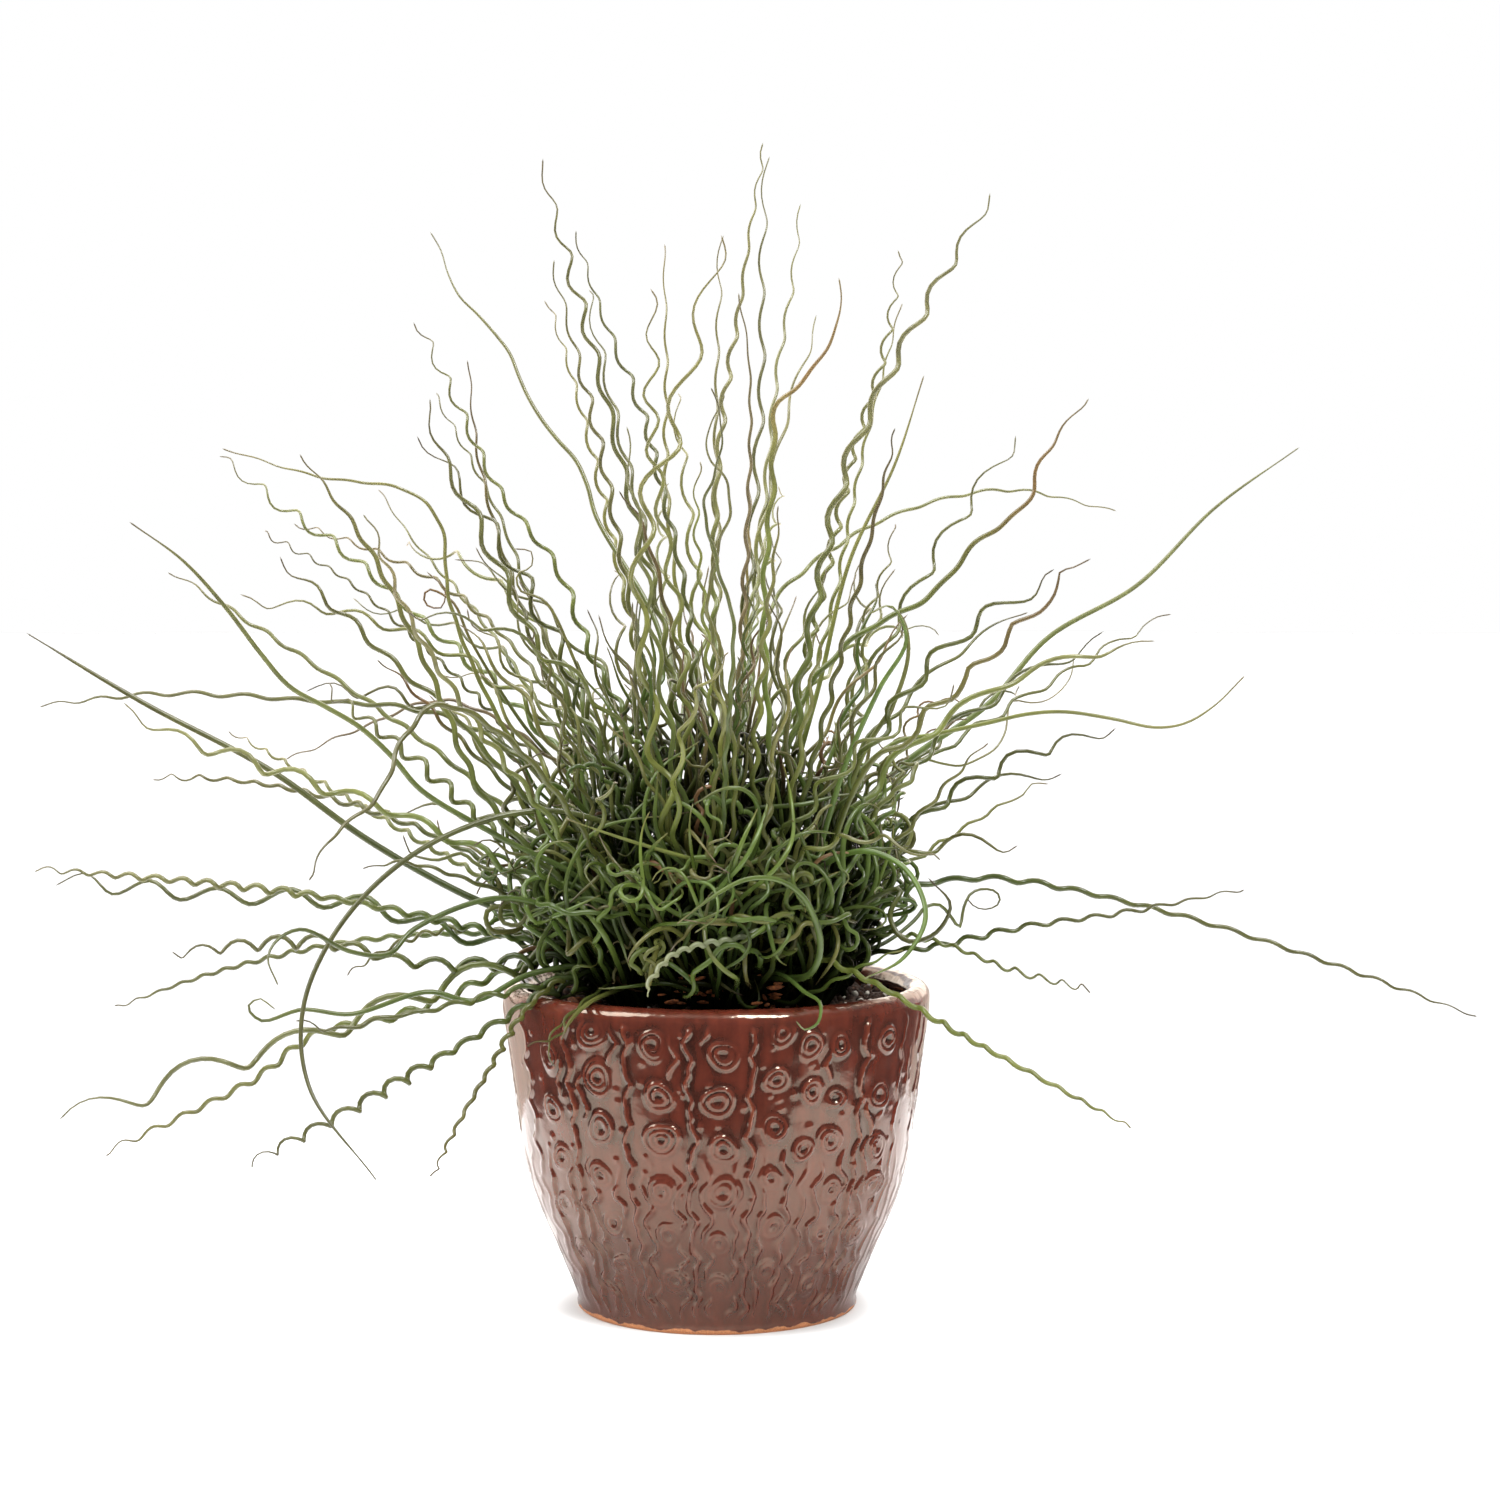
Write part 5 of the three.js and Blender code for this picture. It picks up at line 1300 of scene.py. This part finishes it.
# Studio: a pale table, floor and backdrop under soft lights, with two lit panels behind and the room's dark.
# Its lengths are in metres, and its degrees are counted from the front towards the right.
studio = {
    "floorSize": 24, "floor": "#f4f4f4", "domeRadius": 11, "domeRings": 12, "domeAround": 48,
    "drops": {"table": 0.00015, "room": 0.0003, "bounce": 0.00045},   # under the floor, so that none coincide
    "lights": [
        # degrees round from the front, degrees up, spread of the light in degrees, strength
        (-75, 48, 40, 3.5), (32, 52, 22, 3.3), (170, 46, 40, 2.0),
    ],
    "fills": [(-95, 8, 90, 0.5), (95, 8, 90, 0.5)],   # the same for light that leaves no shine
    "roomFront": 0.22, "roomBack": 1.2, "roomSides": (0.5, 0.6), "roomTint": (1.0, 0.985, 0.97, 1),
    "roomTop": 1.1, "roomTopFades": (0.5, 0.9),
    # lit panels behind at the left and right: degrees round from the front and width in degrees
    "panels": [(-145, 50), (152, 42)], "panelReach": 0.45, "panelHeight": 0.7, "panelLift": 0.002,
    "panelTint": (1, 0.885, 0.77, 1),
    "panelGlow": (3.0, 1.0), "panelFades": (0.15, 0.34),   # in front and at the back, between these depths
    "panelTop": 2.9, "panelTopFades": (0.14, 0.175),   # higher up, where only the top of the lip sees it
    "tableEdge": {"front": -0.254, "left": 0.345, "right": 0.345},
    # tableShade paints a shadow on the table close to the pot, under the plant
    "tableShade": (0.5, 0.97), "tableFades": (0.07, 0.14),   # dim close to the pot, under the plant
    "darkFloor": "#1c1817",
    "sweep": (0.9, 0.4), "sweepFades": (0.1, 0.55),   # less bright further back, so that thin stems show
    # footShadow and footShade paint shade on the sweep round the foot
    "footShadow": (0.06, 0.079), "footShade": 0.62,   # the sweep close round the foot, so the shadow shows
}


def stagePiece(name, corners, faces, material, seenBy):
    mesh = bpy.data.meshes.new(name)
    mesh.from_pydata(corners, [], faces)
    mesh.materials.append(material)
    piece = bpy.data.objects.new(name, mesh)
    bpy.context.scene.collection.objects.link(piece)
    for ray in ("camera", "diffuse", "glossy", "transmission", "shadow"):
        setattr(piece, "visible_" + ray, ray in seenBy)


# The table and what lies past its edge. The glaze is shown the table, with a painted shadow close to the pot,
# and the room's dark floor past it. The stems get light from paper all over, and the eye sees a sweep with
# painted shade round the foot.
def makeFloors():
    half = studio["floorSize"] / 2
    front, left, right = (studio["tableEdge"][name] for name in ("front", "left", "right"))
    paper, tree = startMaterial("mattWhiteCard")
    finishMaterial(tree, {"Base Color": hexToLinear(studio["floor"]), "Roughness": 0.9})
    tableWithPaintedShadow, tree = startMaterial("mattWhiteTableWithPaintedShadow")
    place = addNode(tree, "TexCoord").outputs["Object"]
    out = addNode(tree, "VectorMath", {"operation": "LENGTH"}, {"Vector": place})
    # painted shadow: the table is darker close to the pot, under the plant
    (near, far), (start, end) = studio["tableShade"], studio["tableFades"]
    shade = addNode(tree, "MapRange", {"interpolation_type": "SMOOTHSTEP"}, {
        "Value": out.outputs["Value"], "From Min": start, "From Max": end, "To Min": near, "To Max": far})
    finishMaterial(tree, {"Base Color": shade.outputs[0], "Roughness": 0.9})
    table = [(-left, front), (right, front), (right, half), (-left, half)]
    stagePiece("studio_table", [(x, y, -studio["drops"]["table"]) for x, y in table], [(0, 1, 2, 3)],
               tableWithPaintedShadow, ("glossy", "transmission"))
    dark, tree = startMaterial("blackStudioFelt")
    finishMaterial(tree, {"Base Color": hexToLinear(studio["darkFloor"]), "Roughness": 1.0})
    sweep, tree = startMaterial("mattWhiteSweepWithPaintedFootShade")
    place = addNode(tree, "TexCoord").outputs["Object"]
    back = addNode(tree, "SeparateXYZ", {}, {"Vector": place}).outputs["Y"]
    (near, far), (start, end) = studio["sweep"], studio["sweepFades"]
    shade = addNode(tree, "MapRange", {"interpolation_type": "SMOOTHSTEP"}, {
        "Value": back, "From Min": start, "From Max": end, "To Min": near, "To Max": far})
    out = addNode(tree, "VectorMath", {"operation": "LENGTH"}, {"Vector": place})
    # painted shade: the sweep is darker close round the foot
    start, end = studio["footShadow"]
    under = addNode(tree, "MapRange", {"interpolation_type": "SMOOTHSTEP"}, {
        "Value": out.outputs["Value"], "From Min": start, "From Max": end,
        "To Min": studio["footShade"], "To Max": 1.0})
    both = addNode(tree, "Math", {"operation": "MULTIPLY"}, {0: shade.outputs[0], 1: under.outputs[0]})
    finishMaterial(tree, {"Base Color": both.outputs[0], "Roughness": 1.0, "Specular IOR Level": 0.0})
    outline = [(-half, -half), (half, -half), (half, front), (-half, front), (-half, half), (-left, half),
               (-left, front), (right, front), (right, half), (half, half)]
    stagePiece("room_floor", [(x, y, -studio["drops"]["room"]) for x, y in outline],
               [(0, 1, 2, 3), (3, 6, 5, 4), (7, 2, 9, 8)], dark, ("glossy",))
    whole = [(x, y) for x, y in outline if half == abs(x) == abs(y)]
    stagePiece("bounce_floor", [(x, y, -studio["drops"]["bounce"]) for x, y in whole], [(0, 1, 3, 2)],
               paper, ("diffuse",))
    stagePiece("studio_floor", [(x, y, 0) for x, y in whole], [(0, 1, 3, 2)], sweep, ("camera",))


def makeBackdrop():
    glow, tree = startMaterial("litBackdrop")
    light = addNode(tree, "Emission", {}, {"Color": (1, 1, 1, 1), "Strength": 1.0})
    addNode(tree, "OutputMaterial", {}, {"Surface": light.outputs[0]})
    rings, around, radius = studio["domeRings"], studio["domeAround"], studio["domeRadius"]
    corners, faces = [], []
    for i in range(rings + 1):
        rise = math.pi * (i / rings - 0.5)
        corners += [(radius * math.cos(rise) * math.cos(k / around * fullTurn),
                     radius * math.cos(rise) * math.sin(k / around * fullTurn),
                     radius * math.sin(rise)) for k in range(around)]
    for i in range(rings):
        faces += [(i * around + k, i * around + (k + 1) % around, (i + 1) * around + (k + 1) % around,
                   (i + 1) * around + k) for k in range(around)]
    stagePiece("backdrop_dome", corners, faces, glow, ("camera",))


def makePanels():
    reach = studio["panelReach"]
    for number, (azimuth, width) in enumerate(studio["panels"]):
        lit, tree = startMaterial(f"litPanel{number}")
        spot = addNode(tree, "SeparateXYZ", {}, {"Vector": addNode(tree, "TexCoord").outputs["Object"]})
        (near, far), (start, end) = studio["panelGlow"], studio["panelFades"]
        level = addNode(tree, "MapRange", {"interpolation_type": "SMOOTHSTEP"}, {
            "Value": spot.outputs["Y"], "From Min": start, "From Max": end, "To Min": near, "To Max": far})
        start, end = studio["panelTopFades"]
        raised = addNode(tree, "MapRange", {"interpolation_type": "SMOOTHSTEP"}, {
            "Value": spot.outputs["Z"], "From Min": start, "From Max": end,
            "To Min": 0.0, "To Max": studio["panelTop"]})
        strength = addNode(tree, "Math", {"operation": "MAXIMUM"}, {
            0: level.outputs[0], 1: raised.outputs[0]})
        light = addNode(tree, "Emission", {}, {"Color": studio["panelTint"], "Strength": strength.outputs[0]})
        addNode(tree, "OutputMaterial", {}, {"Surface": light.outputs[0]})
        edges = [math.radians(azimuth + side * width / 2) for side in (-1, 1)]
        low = [(reach * math.sin(a), -reach * math.cos(a), studio["panelLift"]) for a in edges]
        high = [(x, y, studio["panelHeight"]) for x, y, _ in low]
        stagePiece(f"lit_panel{number}", low + high[::-1], [(0, 1, 2, 3)], lit, ("glossy",))


def makeLights():
    for number, (azimuth, elevation, spread, strength) in enumerate(studio["lights"] + studio["fills"]):
        light = bpy.data.lights.new(f"softbox{number}", "SUN")
        light.energy = strength
        light.angle = math.radians(spread)
        lamp = bpy.data.objects.new(f"softbox{number}", light)
        lamp.visible_glossy = number < len(studio["lights"])
        a, e = math.radians(azimuth), math.radians(elevation)
        towards = Vector((math.sin(a) * math.cos(e), -math.cos(a) * math.cos(e), math.sin(e)))
        lamp.rotation_euler = towards.to_track_quat("Z", "Y").to_euler()
        bpy.context.scene.collection.objects.link(lamp)


# Light of the room: bright behind and above, dim in front, so the glaze has something dark to show.
def makeRoomLight():
    world = bpy.data.worlds.new("studioRoom")
    bpy.context.scene.world = world
    world.use_nodes = True
    tree = world.node_tree
    tree.nodes.clear()
    way = addNode(tree, "SeparateXYZ", {}, {"Vector": addNode(tree, "TexCoord").outputs["Generated"]})
    start, end = studio["roomSides"]
    back = addNode(tree, "MapRange", {"interpolation_type": "SMOOTHSTEP"}, {
        "Value": way.outputs["Y"], "From Min": start, "From Max": end,
        "To Min": studio["roomFront"], "To Max": studio["roomBack"]})
    start, end = studio["roomTopFades"]
    top = addNode(tree, "MapRange", {"interpolation_type": "SMOOTHSTEP"}, {
        "Value": way.outputs["Z"], "From Min": start, "From Max": end,
        "To Min": 0.0, "To Max": studio["roomTop"]})
    both = addNode(tree, "Math", {"operation": "MAXIMUM"}, {0: back.outputs[0], 1: top.outputs[0]})
    room = addNode(tree, "Background", {}, {"Color": studio["roomTint"], "Strength": both.outputs[0]})
    addNode(tree, "OutputWorld", {}, {"Surface": room.outputs[0]})


# the eye: lens and sensor in millimetres, place in metres, degrees that it looks down
camera = {"lens": 78.6, "sensor": 36, "place": (0.0148, -1.45, 0.34), "pitch": 3.63}


def makeCamera():
    data = bpy.data.cameras.new("camera")
    data.lens = camera["lens"]
    data.sensor_width = camera["sensor"]
    seat = bpy.data.objects.new("camera", data)
    seat.location = camera["place"]
    seat.rotation_euler = (math.radians(90 - camera["pitch"]), 0, 0)
    bpy.context.scene.collection.objects.link(seat)
    bpy.context.scene.camera = seat


makeCamera()
makeFloors()
makeBackdrop()
makePanels()
makeLights()
makeRoomLight()
bpy.context.scene.view_settings.view_transform = "Standard"
print("studio set")
makePot()
scatterSoilBits(makeSoil())
print("pot filled")
rushStem = makeRushSkin()
for number, (title, tuft) in enumerate(tufts.items()):
    makeTuft(title, tuft, number, rushStem)
print("rush grown")
